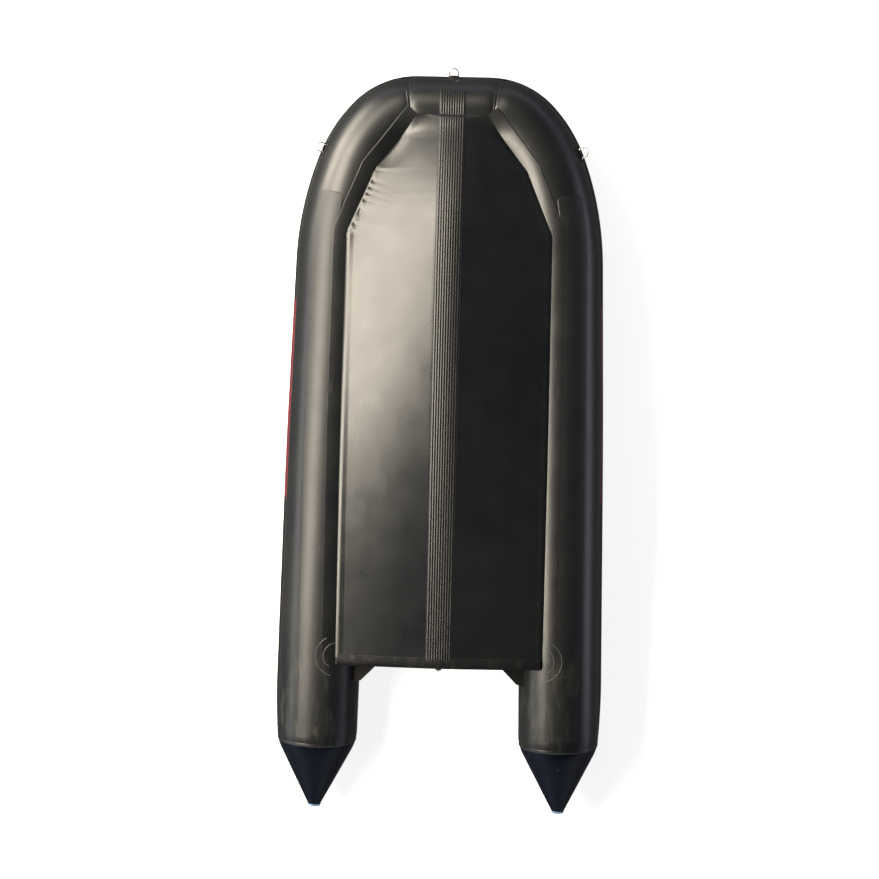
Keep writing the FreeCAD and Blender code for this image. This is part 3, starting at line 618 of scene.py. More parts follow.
def new_material(name, **settings):
    """Material with a principled shader set to the finish's uniform values."""
    material = bpy.data.materials.new(name)
    material.use_nodes = True
    shader = material.node_tree.nodes["Principled BSDF"]
    for key, value in settings.items():
        shader.inputs[key].default_value = value
    return material, material.node_tree, shader


def per_metre(*millimetres):
    """Scale along each axis of a pattern whose marks are so many millimetres apart."""
    scales = tuple(1000 / spacing for spacing in millimetres)
    return scales if len(scales) > 1 else scales[0]


def grained(tree, shader, grain, gloss, strength, depth, reach=(0.3, 0.7)):
    """Roughness between two values and a fine relief, both following one grain."""
    rough = add_node(tree, "ShaderNodeMapRange", [("Value", grain)],
                     **{"From Min": reach[0], "From Max": reach[1], "To Min": gloss[0],
                        "To Max": gloss[1]})
    bump = add_node(tree, "ShaderNodeBump", [("Height", grain)], strength=strength,
                    distance=depth)
    tree.links.new(rough.outputs["Result"], shader.inputs["Roughness"])
    tree.links.new(bump.outputs["Normal"], shader.inputs["Normal"])


def coated_fabric(name, colour, dust, roughness, specks, dusty, level=0.6):
    """Calendered PVC over a woven scrim: glossy, faintly wavy and threaded, with dust."""
    material, tree, shader = new_material(name, **{"IOR": 1.53, "Specular IOR Level": level})
    place = add_node(tree, "ShaderNodeTexCoord").outputs["Object"]
    clouds = add_node(tree, "ShaderNodeTexNoise", [("Vector", place)], scale=per_metre(588.2),
                      detail=5.0, roughness=0.62)
    film = add_node(tree, "ShaderNodeValToRGB", [("Fac", clouds.outputs["Fac"])])
    for element, position, tone in zip(film.color_ramp.elements, (0.42, 0.78), (colour, dust)):
        element.position = position
        element.color = linear(tone)
    marks = add_node(tree, "ShaderNodeMix", [("Factor", scuffs(tree, place, specks, dusty)),
                                             (6, film.outputs["Color"])], data_type="RGBA")
    marks.inputs[7].default_value = linear("#77756c")
    tree.links.new(marks.outputs[2], shader.inputs["Base Color"])
    rubbed = add_node(tree, "ShaderNodeTexNoise", [("Vector", place)], scale=per_metre(142.9),
                      detail=6.0)
    gloss = add_node(tree, "ShaderNodeMapRange", [("Value", rubbed.outputs["Fac"])],
                     **{"From Min": 0.3, "From Max": 0.7, "To Min": roughness - 0.03,
                        "To Max": roughness + 0.03})
    tree.links.new(gloss.outputs["Result"], shader.inputs["Roughness"])
    wide = add_node(tree, "ShaderNodeTexNoise", [("Vector", place)], scale=per_metre(333.3),
                    detail=2.0)
    normal = add_node(tree, "ShaderNodeBump", [("Height", wide.outputs["Fac"])], strength=0.3,
                      distance=0.01).outputs["Normal"]
    # The real threads are 1 mm apart; drawn 8 mm apart so that they show
    pitch = 8.333
    length = 333.3
    for spacing in ((pitch, length, length), (length, pitch, length)):
        laid = add_node(tree, "ShaderNodeMapping", [("Vector", place)],
                        scale=per_metre(*spacing))
        threads = add_node(tree, "ShaderNodeTexNoise", [("Vector", laid.outputs["Vector"])],
                           scale=1.0, detail=3.0)
        normal = add_node(tree, "ShaderNodeBump", [("Height", threads.outputs["Fac"]),
                                                   ("Normal", normal)],
                          strength=0.12, distance=0.0012).outputs["Normal"]
    tree.links.new(normal, shader.inputs["Normal"])
    return material


def scuffs(tree, place, specks, dusty):
    """Factor of pale marks: dusty drag marks near the stern and a few specks."""
    along = add_node(tree, "ShaderNodeSeparateXYZ", [("Vector", place)]).outputs["Y"]
    aft = add_node(tree, "ShaderNodeMapRange", [("Value", along)],
                   **{"From Min": -0.9, "From Max": -2.1, "To Max": dusty})
    drawn = add_node(tree, "ShaderNodeMapping", [("Vector", place)],
                     scale=per_metre(44.64, 208.3, 78.12))
    cloud = add_node(tree, "ShaderNodeTexNoise", [("Vector", drawn.outputs["Vector"])],
                     scale=1.0, detail=7.0, roughness=0.7)
    drag = add_node(tree, "ShaderNodeMapRange", [("Value", cloud.outputs["Fac"])],
                    **{"From Min": 0.52, "From Max": 0.78})
    dragged = add_node(tree, "ShaderNodeMath", [(0, aft.outputs["Result"]),
                                                (1, drag.outputs["Result"])],
                       operation="MULTIPLY")
    dots = add_node(tree, "ShaderNodeTexVoronoi", [("Vector", place)],
                    scale=per_metre(specks))
    spot = add_node(tree, "ShaderNodeMapRange", [("Value", dots.outputs["Distance"])],
                    **{"From Min": 0.03, "From Max": 0.015, "To Max": 0.45})
    both = add_node(tree, "ShaderNodeMath", [(0, dragged.outputs["Value"]),
                                             (1, spot.outputs["Result"])],
                    operation="ADD", use_clamp=True)
    return both.outputs["Value"]


def moulded(name, colour, worn_and_sheen, roughness, grain, depth, stretch=(1.0, 1.0, 1.0), **settings):
    """Moulded or extruded plastic and rubber: fine grain and paler edges, rubbed wear on most,
    painted reflection on the cone disc.
    """
    material, tree, shader = new_material(name, **settings)
    place = add_node(tree, "ShaderNodeTexCoord").outputs["Object"]
    # Real grain is under 1 mm; drawn coarser so that it shows
    drawn = add_node(tree, "ShaderNodeMapping", [("Vector", place)], scale=stretch)
    speckle = add_node(tree, "ShaderNodeTexNoise", [("Vector", drawn.outputs["Vector"])],
                       scale=per_metre(grain), detail=4.0).outputs["Fac"]
    edge = add_node(tree, "ShaderNodeNewGeometry").outputs["Pointiness"]
    rub = add_node(tree, "ShaderNodeMapRange", [("Value", edge)],
                   **{"From Min": 0.52, "From Max": 0.62})
    blend = add_node(tree, "ShaderNodeMath", [(0, rub.outputs["Result"]), (1, speckle)],
                     operation="MULTIPLY")
    mix = add_node(tree, "ShaderNodeMix", [("Factor", blend.outputs["Value"])],
                   data_type="RGBA")
    mix.inputs[6].default_value = linear(colour)
    mix.inputs[7].default_value = linear(worn_and_sheen)
    tree.links.new(mix.outputs[2], shader.inputs["Base Color"])
    grained(tree, shader, speckle, (roughness - 0.06, roughness + 0.08), 0.3, depth)
    return material


def metal(name, colours, roughness, streaks):
    """Rolled or drawn metal: bright, with fine streaks along the way it was worked."""
    material, tree, shader = new_material(name, Metallic=1.0)
    place = add_node(tree, "ShaderNodeTexCoord").outputs["Object"]
    # Real streaks are under 1 mm wide; drawn coarser so that they show
    turned = add_node(tree, "ShaderNodeMapping", [("Vector", place)], scale=per_metre(*streaks))
    worked = add_node(tree, "ShaderNodeTexNoise", [("Vector", turned.outputs["Vector"])],
                      scale=1.0, detail=5.0).outputs["Fac"]
    tones = add_node(tree, "ShaderNodeValToRGB", [("Fac", worked)])
    for element, tone in zip(tones.color_ramp.elements, colours):
        element.color = linear(tone)
    tree.links.new(tones.outputs["Color"], shader.inputs["Base Color"])
    grained(tree, shader, worked, (roughness - 0.06, roughness + 0.1), 0.2, 0.0004)
    return material


def wood(name, dark, pale, roughness, coat):
    """Plywood under a film or varnish: long grain figure showing through."""
    material, tree, shader = new_material(name, **{"Coat Weight": coat, "Coat Roughness": 0.15})
    place = add_node(tree, "ShaderNodeTexCoord").outputs["Object"]
    laid = add_node(tree, "ShaderNodeMapping", [("Vector", place)],
                    scale=per_metre(200.0, 14.286, 14.286))
    figure = add_node(tree, "ShaderNodeTexNoise", [("Vector", laid.outputs["Vector"])],
                      scale=1.0, detail=6.0, distortion=0.8).outputs["Fac"]
    tones = add_node(tree, "ShaderNodeValToRGB", [("Fac", figure)])
    for element, position, tone in zip(tones.color_ramp.elements, (0.3, 0.7), (dark, pale)):
        element.position = position
        element.color = linear(tone)
    tree.links.new(tones.outputs["Color"], shader.inputs["Base Color"])
    grained(tree, shader, figure, (roughness - 0.05, roughness + 0.08), 0.25, 0.0008,
            reach=(0.0, 1.0))
    return material


MATERIALS = {}


def finish(name):
    """The named material, made when it is first asked for."""
    if name not in MATERIALS:
        MATERIALS[name] = RECIPES[name](name, bpy.context.scene.boat_finishes)
    return MATERIALS[name]


# Each finish starts from the real one; comments say what that gives the eye.
# Specks, grain and streaks are millimetres apart
RECIPES = {
    # Coated polyester, calendered glossy: broad soft highlights that wander over the tube
    "tube_pvc": lambda name, colours: coated_fabric(
        name, colours.tube, dust="#202121", roughness=0.34, specks=142.9, dusty=0.5),
    # The same cloth stretched flat: calmer, with faint threads showing
    "bottom_pvc": lambda name, colours: coated_fabric(
        name, colours.bottom, dust="#1c1d1f", roughness=0.30, specks=111.1, dusty=0.08),
    # The bottom's edge wrapped over the transom: rubbed, dusty and duller
    "edge_pvc": lambda name, colours: coated_fabric(
        name, "#101214", dust="#1c1d1d", roughness=0.44, specks=62.5, dusty=0.4, level=0.3),
    # Navy coated polyester of the cones: deeper colour and a satin face
    "cone_pvc": lambda name, colours: coated_fabric(
        name, colours.cone, dust="#060e20", roughness=0.38, specks=200.0, dusty=0.0, level=0.3),
    # Doubled wear strip: smoother and a little duller than the tube
    "wear_pvc": lambda name, colours: coated_fabric(
        name, "#191b1d", dust="#222323", roughness=0.43, specks=166.7, dusty=0.5, level=0.5),
    # Extruded keel guard: rubbery sheen on every ridge, with long marks of the extrusion
    "guard_rubber": lambda name, colours: moulded(
        name, "#191a1b", worn_and_sheen="#202121", roughness=0.31, grain=5.0, depth=0.0001,
        stretch=(1.0, 0.03, 1.0)),
    # Extruded rubbing strake: dull, with its edges rubbed paler
    "strake_rubber": lambda name, colours: moulded(
        name, "#151617", worn_and_sheen="#34322f", roughness=0.40, grain=12.5, depth=0.0005),
    # Red length of strake: pigmented rubber, slightly chalky
    "strake_red": lambda name, colours: moulded(
        name, colours.band, worn_and_sheen="#7c3a38", roughness=0.45, grain=12.5, depth=0.0005),
    # Moulded rubber fittings: matt, with little reflection
    "fitting_rubber": lambda name, colours: moulded(
        name, "#101112", worn_and_sheen="#2b2a28", roughness=0.48, grain=7.143, depth=0.0004,
        **{"Specular IOR Level": 0.25}),
    # Injection-moulded nylon: finer and harder than rubber
    "nylon": lambda name, colours: moulded(
        name, "#2b2c2e", worn_and_sheen="#6a6965", roughness=0.38, grain=4.545, depth=0.0002),
    # Moulded disc closing each cone, glossy: its pale blue, and the paler blue at its rims, is
    # painted reflection of a blue sky
    "cone_disc": lambda name, colours: moulded(
        name, "#5c8fc4", worn_and_sheen="#c4dcf2", roughness=0.25, grain=8.333, depth=0.0002),
    # Adhesive squeezed from a seam: a thin pale line
    "seam_line": lambda name, colours: moulded(
        name, "#54575a", worn_and_sheen="#a8a8a4", roughness=0.40, grain=11.11, depth=0.0003),
    # Polished stainless ring: small sharp highlights
    "stainless": lambda name, colours: metal(
        name, ("#b9bbbd", "#e4e6e8"), roughness=0.18, streaks=(11.11, 11.11, 11.11)),
    # Extruded aluminium floor: satin, with streaks along the extrusion
    "floor_alloy": lambda name, colours: metal(
        name, ("#a4a7aa", "#b9bcbf"), roughness=0.36, streaks=(3.704, 111.1, 3.704)),
    # Anodised aluminium bench: softer and greyer, with streaks across the boat
    "bench_alloy": lambda name, colours: metal(
        name, ("#94979a", "#a6a9ac"), roughness=0.32, streaks=(111.1, 3.704, 3.704)),
    # Film-faced marine plywood: near black, with the grain barely showing
    "transom_board": lambda name, colours: wood(
        name, dark="#0e0e0f", pale="#161617", roughness=0.5, coat=0.1),
    # Varnished marine plywood: warm, with its grain under a clear gloss
    "varnished_board": lambda name, colours: wood(
        name, dark="#7d5429", pale="#a87a45", roughness=0.35, coat=0.6),
}


# Tubes and cones

def cone_length():
    """Length of the tube's end, from its straight part to the flat tip."""
    sizes = cone_sizes()
    drop = tube_sizes().radius - sizes.tip_radius
    rise = sizes.shoulder_radius * (1 / math.cos(sizes.slope) - 1)
    return (drop + rise) / math.tan(sizes.slope)


def end_radius(distance):
    """Radius of the tube's end and cone at a distance aft of the straight tube."""
    sizes = cone_sizes()
    shoulder = sizes.shoulder_radius
    if distance <= shoulder * math.sin(sizes.slope):
        return tube_sizes().radius - shoulder + math.sqrt(shoulder ** 2 - distance ** 2)
    return sizes.tip_radius + (cone_length() - distance) * math.tan(sizes.slope)


def stern_rings(start, stop, steps):
    """Carries the selected ring aft over the rounding and the cone."""
    station = path_start()
    for step in range(steps):
        low = start + (stop - start) * step / steps
        high = start + (stop - start) * (step + 1) / steps
        extruded(station.ahead * (low - high))
        scale = end_radius(high) / end_radius(low)
        bpy.ops.transform.resize(value=(scale, scale, scale),
                                 center_override=station.point - station.ahead * high)


def puckered(piece, run):
    """Draws the fabric in along a ring seam, with creases that fade away from it."""
    reach = 0.024
    depth = 0.012
    lobes = 4.0
    station = station_at(run)
    for vertex in piece.data.vertices:
        offset = vertex.co - station.point
        distance = abs(offset.dot(station.ahead))
        radial = offset - station.ahead * offset.dot(station.ahead)
        if distance < 4 * reach and radial.length > 0.6 * tube_sizes().radius:
            angle = math.atan2(radial.dot(station.out), radial.dot(station.keel))
            crease = noise.noise(Vector((math.cos(angle) * lobes, math.sin(angle) * lobes, 1.0)))
            fade = math.exp(-distance / reach)
            vertex.co += radial.normalized() * (depth * fade * (0.4 * crease - 1.0))


class BOAT_OT_tubes(bpy.types.Operator):
    """Sweeps the side tubes and the bow piece along their centre line"""
    bl_idname = "boat.tubes"
    bl_label = "Tubes"

    def execute(self, context):
        seam = seam_run()
        piece = ring_piece("port_side_tube", path_start(), tube_sizes().radius)
        swept(0.0, seam, pitch=0.03)
        bpy.ops.mesh.select_all(action="DESELECT")
        bpy.ops.object.mode_set(mode="OBJECT")
        for vertex in piece.data.vertices[:TUBE_SIDES]:
            vertex.select = True
        bpy.ops.object.mode_set(mode="EDIT")
        bpy.ops.mesh.select_mode(type="EDGE")
        stern_rings(0.0, cone_sizes().fabric_start, steps=6)
        bpy.ops.mesh.select_mode(type="VERT")
        bpy.ops.mesh.select_all(action="SELECT")
        bpy.ops.mesh.region_to_loop()
        bpy.ops.mesh.edge_face_add()
        outward(piece)
        puckered(piece, seam)
        both_sides(piece, "side_tube", "tube_pvc", "tube", smooth=40)
        self.bow_piece(seam)
        return {"FINISHED"}

    def bow_piece(self, seam):
        """Sweeps half of the bow piece, mirrors it and closes its ends."""
        half = ring_piece("bow_piece", station_at(seam), tube_sizes().radius)
        swept(seam, route_length(), pitch=0.02)
        applied(half)
        for vertex in half.data.vertices:
            if abs(vertex.co.x) < 0.0005:
                vertex.co.x = 0.0
        puckered(half, seam)
        bow = joined("bow_piece", [half, mirrored(half, "bow_other_half")])
        outward(bow)
        capped(bow)
        outward(bow)
        finished(bow, "tube_pvc", ("bow_tube",), smooth=40)


class BOAT_OT_cones(bpy.types.Operator):
    """Makes the dark blue cones behind the tubes, with their end discs"""
    bl_idname = "boat.cones"
    bl_label = "Tail cones"

    def execute(self, context):
        lip = 0.006
        station = path_start()
        start = cone_sizes().fabric_start
        at_seam = station._replace(point=station.point - station.ahead * start)
        piece = ring_piece("cone", at_seam, end_radius(start))
        stern_rings(start, cone_length() - lip, steps=24)
        bpy.ops.mesh.edge_face_add()
        bpy.ops.mesh.inset(thickness=0.004)
        extruded(-station.ahead * lip)
        capped(piece)
        outward(piece)
        both_sides(piece, "tail_cone_skin", "cone_pvc", "tail_cone")
        self.disc(station)
        return {"FINISHED"}

    def disc(self, station):
        """Stepped disc that closes the cone's flat tip, dished in the middle."""
        seat = cone_length() - 0.007
        overlap = 0.0012
        wall = 0.006
        dish = 0.002
        tip = station._replace(point=station.point - station.ahead * seat)
        disc = ring_piece("disc", tip, end_radius(seat) + overlap, sides=48)
        bpy.ops.mesh.edge_face_add()
        extruded(-station.ahead * wall)
        for inset, step in ((0.0025, 0.0), (0.0015, wall), (0.003, 0.002)):
            bpy.ops.mesh.inset(thickness=inset)
            if step:
                extruded(-station.ahead * step)
        bpy.ops.mesh.inset(thickness=0.010)
        bpy.ops.transform.translate(value=station.ahead * dish)
        outward(disc)
        both_sides(disc, "cone_disc", "cone_disc", "cone_cap")


def ring_band(name, run, width, lift, radius=None):
    """Thin tape round the tube, centred on a seam, with its underside sunk in the tube."""
    sunk = 0.0006
    thickness = 0.0008
    rim = 0.002
    base = radius or tube_sizes().radius
    low = station_at(run - width / 2)
    high = station_at(run + width / 2)

    def place(u, v):
        share = min(2 * v, 2 - 2 * v)
        rise = min(min(share, 1 - share) * width / rim, 1.0)
        height = (lift if v < 0.5 else -thickness) * rise - sunk
        station = low if share < 0.5 else high
        middle = station.point + station.ahead * width * (share if share < 0.5 else share - 1.0)
        return middle + ray(station, 360 * u) * (base + height)

    band = grid_piece(name, TUBE_SIDES, 24, place, closed=True)
    outward(band)
    return band


class BOAT_OT_seams(bpy.types.Operator):
    """Lays tapes over the bow seams, the cone seams and the tubes' panel joints"""
    bl_idname = "boat.seams"
    bl_label = "Seam tapes"

    def execute(self, context):
        tape = ring_band("tape", seam_run(), width=0.024, lift=0.0014)
        puckered(tape, seam_run())
        finished(joined("bow_seam_tape", [tape, mirrored(tape, "other_tape")]),
                 "tube_pvc", ("bow_seam_tapes",))
        joint = ring_band("joint", run_at(tube_sizes().panel_joint), width=0.030, lift=0.0010)
        both_sides(joint, "panel_joint", "tube_pvc")
        self.cone_seam(cone_sizes().fabric_start)
        return {"FINISHED"}

    def cone_seam(self, start):
        """Lap of the tube's fabric over the cone's, with the adhesive line behind it."""
        beside = 0.009
        lap = ring_band("lap", -start, width=0.016, lift=0.0016,
                        radius=end_radius(start) + 0.0006)
        both_sides(lap, "cone_lap", "tube_pvc")
        line = ring_band("line", -start - beside, width=0.004, lift=0.0018,
                         radius=end_radius(start + beside) + 0.0004)
        both_sides(line, "cone_seam_line", "seam_line")


# Bottom

def edge_height(along):
    """Height of the bottom's edge, tucked into the valley."""
    tuck = 0.0012
    return tube_height(valley_half(along), along, BOND_LIFT) - tuck


def softened(measure, along, last, reach=0.36):
    """Mean of a measure along the boat, with the corners of the valley rounded off."""
    steps = 6
    span = reach * math.tanh(min(along, last - along) / reach)
    places = [along + span * step / steps for step in range(-steps, steps + 1)]
    return sum(measure(place) for place in places) / len(places)


def pucker(across, along):
    """Short gathers along the starboard edge between its two corners, and corner creases."""
    gather_pitch = 0.055
    gather_end = 0.05
    crease_length = 0.028
    crease_width = 0.012
    low, high = valley_corners()[1:3]
    side = (high - low).normalized()
    offset = Vector((abs(across), along)) - low
    run = offset.dot(side)
    deep = abs(offset.x * side.y - offset.y * side.x)
    strength = 0.0045 if across < 0 else 0.0008
    height = 0.0
    if 0.0 < run < (high - low).length:
        ends = min(run, (high - low).length - run) / gather_end
        wander = 1.3 * math.sin(run * 23.0)
        lobe = math.sin(math.pi * run / gather_pitch + wander) ** 4
        dip = math.exp(-((deep - 0.022) / 0.010) ** 2) + 0.3 * math.exp(-deep / 0.06)
        height -= strength * min(ends, 1.0) * lobe * dip
    for corner, lean in ((low, -0.12), (high, -0.25)):
        inboard = corner.x - abs(across)
        line = abs(along - corner.y - lean * inboard)
        if inboard > 0:
            height -= (strength * math.exp(-inboard / crease_length)
                       * math.exp(-(line / crease_width) ** 2))
    return height


def panel_slope(along):
    """Slope of the bottom from the keel down to its edge."""
    fall = max(keel_height(along) - edge_height(along), 0.0005)
    return fall / (valley_half(along) - bottom_sizes().guard_half)


def bottom_row(along, last):
    """Half width, edge, keel and slope of the bottom at a place, and how freely it bulges."""
    calm_end = 0.12
    edge = edge_height(along)
    keel = max(softened(keel_height, along, last), edge + 0.0005)
    free = min((last - along) / calm_end, 1.0)
    return valley_half(along), edge, keel, softened(panel_slope, along, last, 0.45), free


def bottom_point(row, across, along):
    """Place of the bottom's fabric: rounded over the keel, full beside it, rolled at its edge."""
    lift = 0.004
    bulge = 0.005
    roll_width = 0.022
    half, edge, keel, slope, free = row
    inner = bottom_sizes().guard_half
    reach = abs(across)
    if reach <= inner:
        height = keel - slope * reach ** 2 / (2 * inner) * KEEL_ROUNDING
    else:
        start = keel - slope * inner / 2 * KEEL_ROUNDING
        share = (reach - inner) / (half - inner)
        calm = start - slope * (reach - inner)
        end = start - slope * (half - inner)
        height = calm + bulge * free * math.sin(math.pi * share) + (edge - end) * share ** 4
    margin = (half - reach) / roll_width
    roll = 0.005 if along < valley_corners()[2].y else 0.002 * free
    if margin < 1.0:
        height += roll * (math.sqrt(max(1 - (1 - margin) ** 2, 0.0)) - 0.67)
    elif margin < 2.0:
        height += 0.33 * roll * (2.0 - margin)
    return unrolled(across, along, height + lift + pucker(across, along))


def cross_lines(last):
    """Places of the bottom's cross lines, closer together along the gathered edge."""
    past = 0.04
    low, high = valley_corners()[1].y - past, valley_corners()[2].y + past
    places = []
    for start, stop, steps in ((0.0, low, 100), (low, high, 110), (high, last, 70)):
        places += [start + (stop - start) * step / steps for step in range(steps)]
    return places + [last]


class BOAT_OT_bottom(bpy.types.Operator):
    """Stretches the fabric bottom from the keel to the valleys of the tubes"""
    bl_idname = "boat.bottom"
    bl_label = "Fabric bottom"

    def execute(self, context):
        last = valley_corners()[-1].y
        places = cross_lines(last)
        rows = [bottom_row(along, last) for along in places]

        def place(u, v):
            index = round(v * (len(rows) - 1))
            across = rows[index][0] * math.sin(math.pi * (u - 0.5))
            return bottom_point(rows[index], across, places[index])

        piece = grid_piece("bottom_fabric", 160, len(rows) - 1, place)
        thickened(piece, 0.0015)
        finished(piece, "bottom_pvc", ("hull_bottom",), smooth=30)
        return {"FINISHED"}


class BOAT_OT_transom_edge(bpy.types.Operator):
    """Wraps the bottom's aft edge over the transom's foot"""
    bl_idname = "boat.transom_edge"
    bl_label = "Transom edge"

    def execute(self, context):
        last = valley_corners()[-1].y
        # Section of the wrapped edge: place along the boat and lift off the bottom
        profile = ((0.020, 0.0008), (0.017, 0.0020), (0.006, 0.0030), (-0.010, 0.0040),
                   (-0.024, 0.0034), (-0.036, 0.0002), (-0.0425, -0.0060), (-0.0436, -0.0200))
        half = valley_half(0.0) - 0.012
        row = bottom_row(0.0, last)
        depth = 0.0012

        def place(u, v):
            at = v * (len(profile) - 1)
            index = min(int(at), len(profile) - 2)
            low, high = Vector(profile[index]), Vector(profile[index + 1])
            along, lift = low.lerp(high, at - index)
            across = (2 * u - 1) * half
            foot = bottom_point(row, across * 0.95, 0.0).z
            crease = noise.noise(Vector((across * 26.0, along * 34.0, 3.0)))
            crease += 0.5 * noise.noise(Vector((across * 70.0, along * 90.0, 5.0)))
            return Vector((across, along, foot + lift + depth * crease))

        piece = grid_piece("transom_edge_wrap", 220, 42, place)
        thickened(piece, 0.0012)
        finished(piece, "edge_pvc", smooth=40)
        return {"FINISHED"}


class BOAT_OT_corner_patches(bpy.types.Operator):
    """Draws the adhesive lines round the patches at the stern corners"""
    bl_idname = "boat.corner_patches"
    bl_label = "Corner patch edges"

    def execute(self, context):
        rounds = [self.line(0.074, -150, 60), self.line(0.118, -60, 75)]
        both_sides(joined("patch", rounds), "corner_patch_edge", "seam_line")
        return {"FINISHED"}

    def line(self, radius, low, high):
        """Thin raised arc on the tube between two turns from straight outboard."""
        width = 0.0024
        lift = 0.0052
        middle = -27
        centre = run_at(0.012)

        def place(u, v):
            angle = math.radians(low + (high - low) * u)
            ring = radius + (v - 0.5) * width
            degrees = middle + math.degrees(ring * math.cos(angle) / tube_sizes().radius)
            return tube_point(centre - ring * math.sin(angle), degrees,
                              lift - 0.0010 * abs(2 * v - 1))

        piece = grid_piece("arc", 90, 4, place)
        thickened(piece, 0.0008)
        return piece


class BOAT_OT_flanges(bpy.types.Operator):
    """Bonds the bottom's flange to each tube along straight-sided lines"""
    bl_idname = "boat.flanges"
    bl_label = "Seam flanges"

    def execute(self, context):
        tuck = 0.012
        inner_lift = 0.0008
        climb = 0.0034
        inner = offset_corners(-tuck)
        outer = offset_corners(bottom_sizes().flange_width)

        def place(u, v):
            flat = along_corners(inner, v).lerp(along_corners(outer, v), u)
            lift = (inner_lift + climb * u) * min(1.0, (1 - u) * 22)
            return unrolled(flat.x, flat.y, tube_height(flat.x, flat.y, lift))

        piece = grid_piece("flange", 48, 240, place)
        thickened(piece, 0.0016)
        both_sides(piece, "bottom_flange", "tube_pvc", "seam_flange", smooth=30)
        return {"FINISHED"}


class BOAT_OT_guard(bpy.types.Operator):
    """Extrudes the ridged keel guard over the keel and the bow tube"""
    bl_idname = "boat.guard"
    bl_label = "Keel guard"

    def execute(self, context):
        sizes = bottom_sizes()
        bow = tube_sizes().bow_run + sizes.guard_reach
        last = valley_corners()[-1].y
        lines = 260
        thickness = 0.003
        ridge_height = 0.0008
        rim = 0.003
        pitch = 2 * sizes.guard_half / (sizes.ridges + 0.6)
        rows = [self.row(bow * step / lines, last) for step in range(lines + 1)]

        def place(u, v):
            across = (2 * u - 1) * sizes.guard_half
            height, slope = rows[round(v * lines)]
            crown = slope * across ** 2 / (2 * sizes.guard_half) * KEEL_ROUNDING
            wave = math.cos(2 * math.pi * across / pitch + math.pi * (sizes.ridges % 2 - 1))
            ridge = ridge_height * (wave + 1.0)
            edge = min(1.0, (sizes.guard_half - abs(across)) / rim)
            return unrolled(across, v * bow, height - crown + (thickness + ridge) * edge)

        piece = grid_piece("keel_guard_skin", sizes.ridges * 12 + 16, lines, place)
        thickened(piece, 0.002)
        finished(piece, "guard_rubber", ("keel_guard",), smooth=30)
        return {"FINISHED"}

    def row(self, along, last):
        """Height of the guard's middle and slope beside it, on the keel or on the bow tube."""
        if along <= last - 0.012:
            return softened(keel_height, along, last) + 0.0045, bottom_row(along, last)[3]
        return tube_height(0.0, along, BOND_LIFT), 0.004


class BOAT_OT_wear_strips(bpy.types.Operator):
    """Bonds the wear strips along the tubes, each in two lapped lengths"""
    bl_idname = "boat.wear_strips"
    bl_label = "Wear strips"

    def execute(self, context):
        radius = tube_sizes().radius
        start = 0.008
        stop = 2.64
        length = run_at(stop) - start
        lap = run_at(tube_sizes().panel_joint)
        corner = 0.03
        rim = 0.0015
        lap_step = 0.0016

        def place(u, v):
            run = start + length * v
            distance = length * (1 - v)
            inset = 0.0
            if distance < corner:
                drop = 1 - math.sqrt(max(1 - (1 - distance / corner) ** 2, 0.0))
                inset = math.degrees(corner / radius) * drop
            low = -21 + 22 * v + inset
            high = 25 + 16 * v - inset
            width = (high - low) * math.radians(1) * radius
            edge = min(min(u, 1 - u) * width / rim, distance / rim, 1.0)
            past = run - lap
            step = lap_step * min(max(past / 0.003, 0.0), 1.0) * max(1 - past / 0.12, 0.0)
            return tube_point(run, low + (high - low) * u, 0.0004 + 0.0022 * edge + step)

        piece = grid_piece("wear", 48, 300, place)
        thickened(piece, 0.0012)
        both_sides(piece, "wear_band", "wear_pvc", "wear_strip", smooth=30)
        return {"FINISHED"}


# Rubbing strakes

# Half of the strake's section: degrees round the tube and height over it
STRAKE_SIDE = ((0.0, 0.0150), (1.6, 0.0145), (3.0, 0.0124), (3.5, 0.0104), (3.9, 0.0112),
               (5.0, 0.0095), (7.2, 0.0050), (9.0, 0.0018), (9.5, 0.0))


def strake_length(name, start, stop, fade=0.0):
    """Ribbed strake between two runs, flattened towards its aft end over a given length."""
    pitch = 0.02
    section = [(-degrees, height) for degrees, height in STRAKE_SIDE[:0:-1]] + list(STRAKE_SIDE)
    columns = len(section)

    def place(u, v):
        degrees, height = section[round(u * columns) % columns]
        run = start + (stop - start) * v
        rise = min((run - start) / fade, 1.0) if fade else 1.0
        return tube_point(run, 90 + degrees, height * (0.15 + 0.85 * math.sin(rise * math.pi / 2)))

    piece = grid_piece(name, columns, max(round((stop - start) / pitch), 4), place, closed=True)
    capped(piece)
    outward(piece)
    modified(piece, "BEVEL", width=0.0008, segments=2, limit_method="ANGLE",
             angle_limit=math.radians(50))
    return piece


class BOAT_OT_strakes(bpy.types.Operator):
    """Runs the rubbing strake round the boat, with a red length on each side"""
    bl_idname = "boat.strakes"
    bl_label = "Rubbing strakes"

    def execute(self, context):
        sizes = context.scene.boat_strakes
        seam = seam_run()
        aft = strake_length("aft_strake", sizes.start, sizes.red_start - sizes.gap, fade=0.30)
        fore = strake_length("fore_strake", sizes.red_stop + sizes.gap, seam)
        both_sides(joined("strake", [aft, fore]), "rubbing_strake",
                   "strake_rubber", "rub_strake")
        both_sides(strake_length("red", sizes.red_start, sizes.red_stop), "red_band",
                   "strake_red", "red_strake")
        half = strake_length("bow_half", seam + sizes.gap, route_length())
        finished(joined("bow_rubbing_strake", [half, mirrored(half, "bow_other")]),
                 "strake_rubber", ("bow_strake",))
        return {"FINISHED"}


# Floor

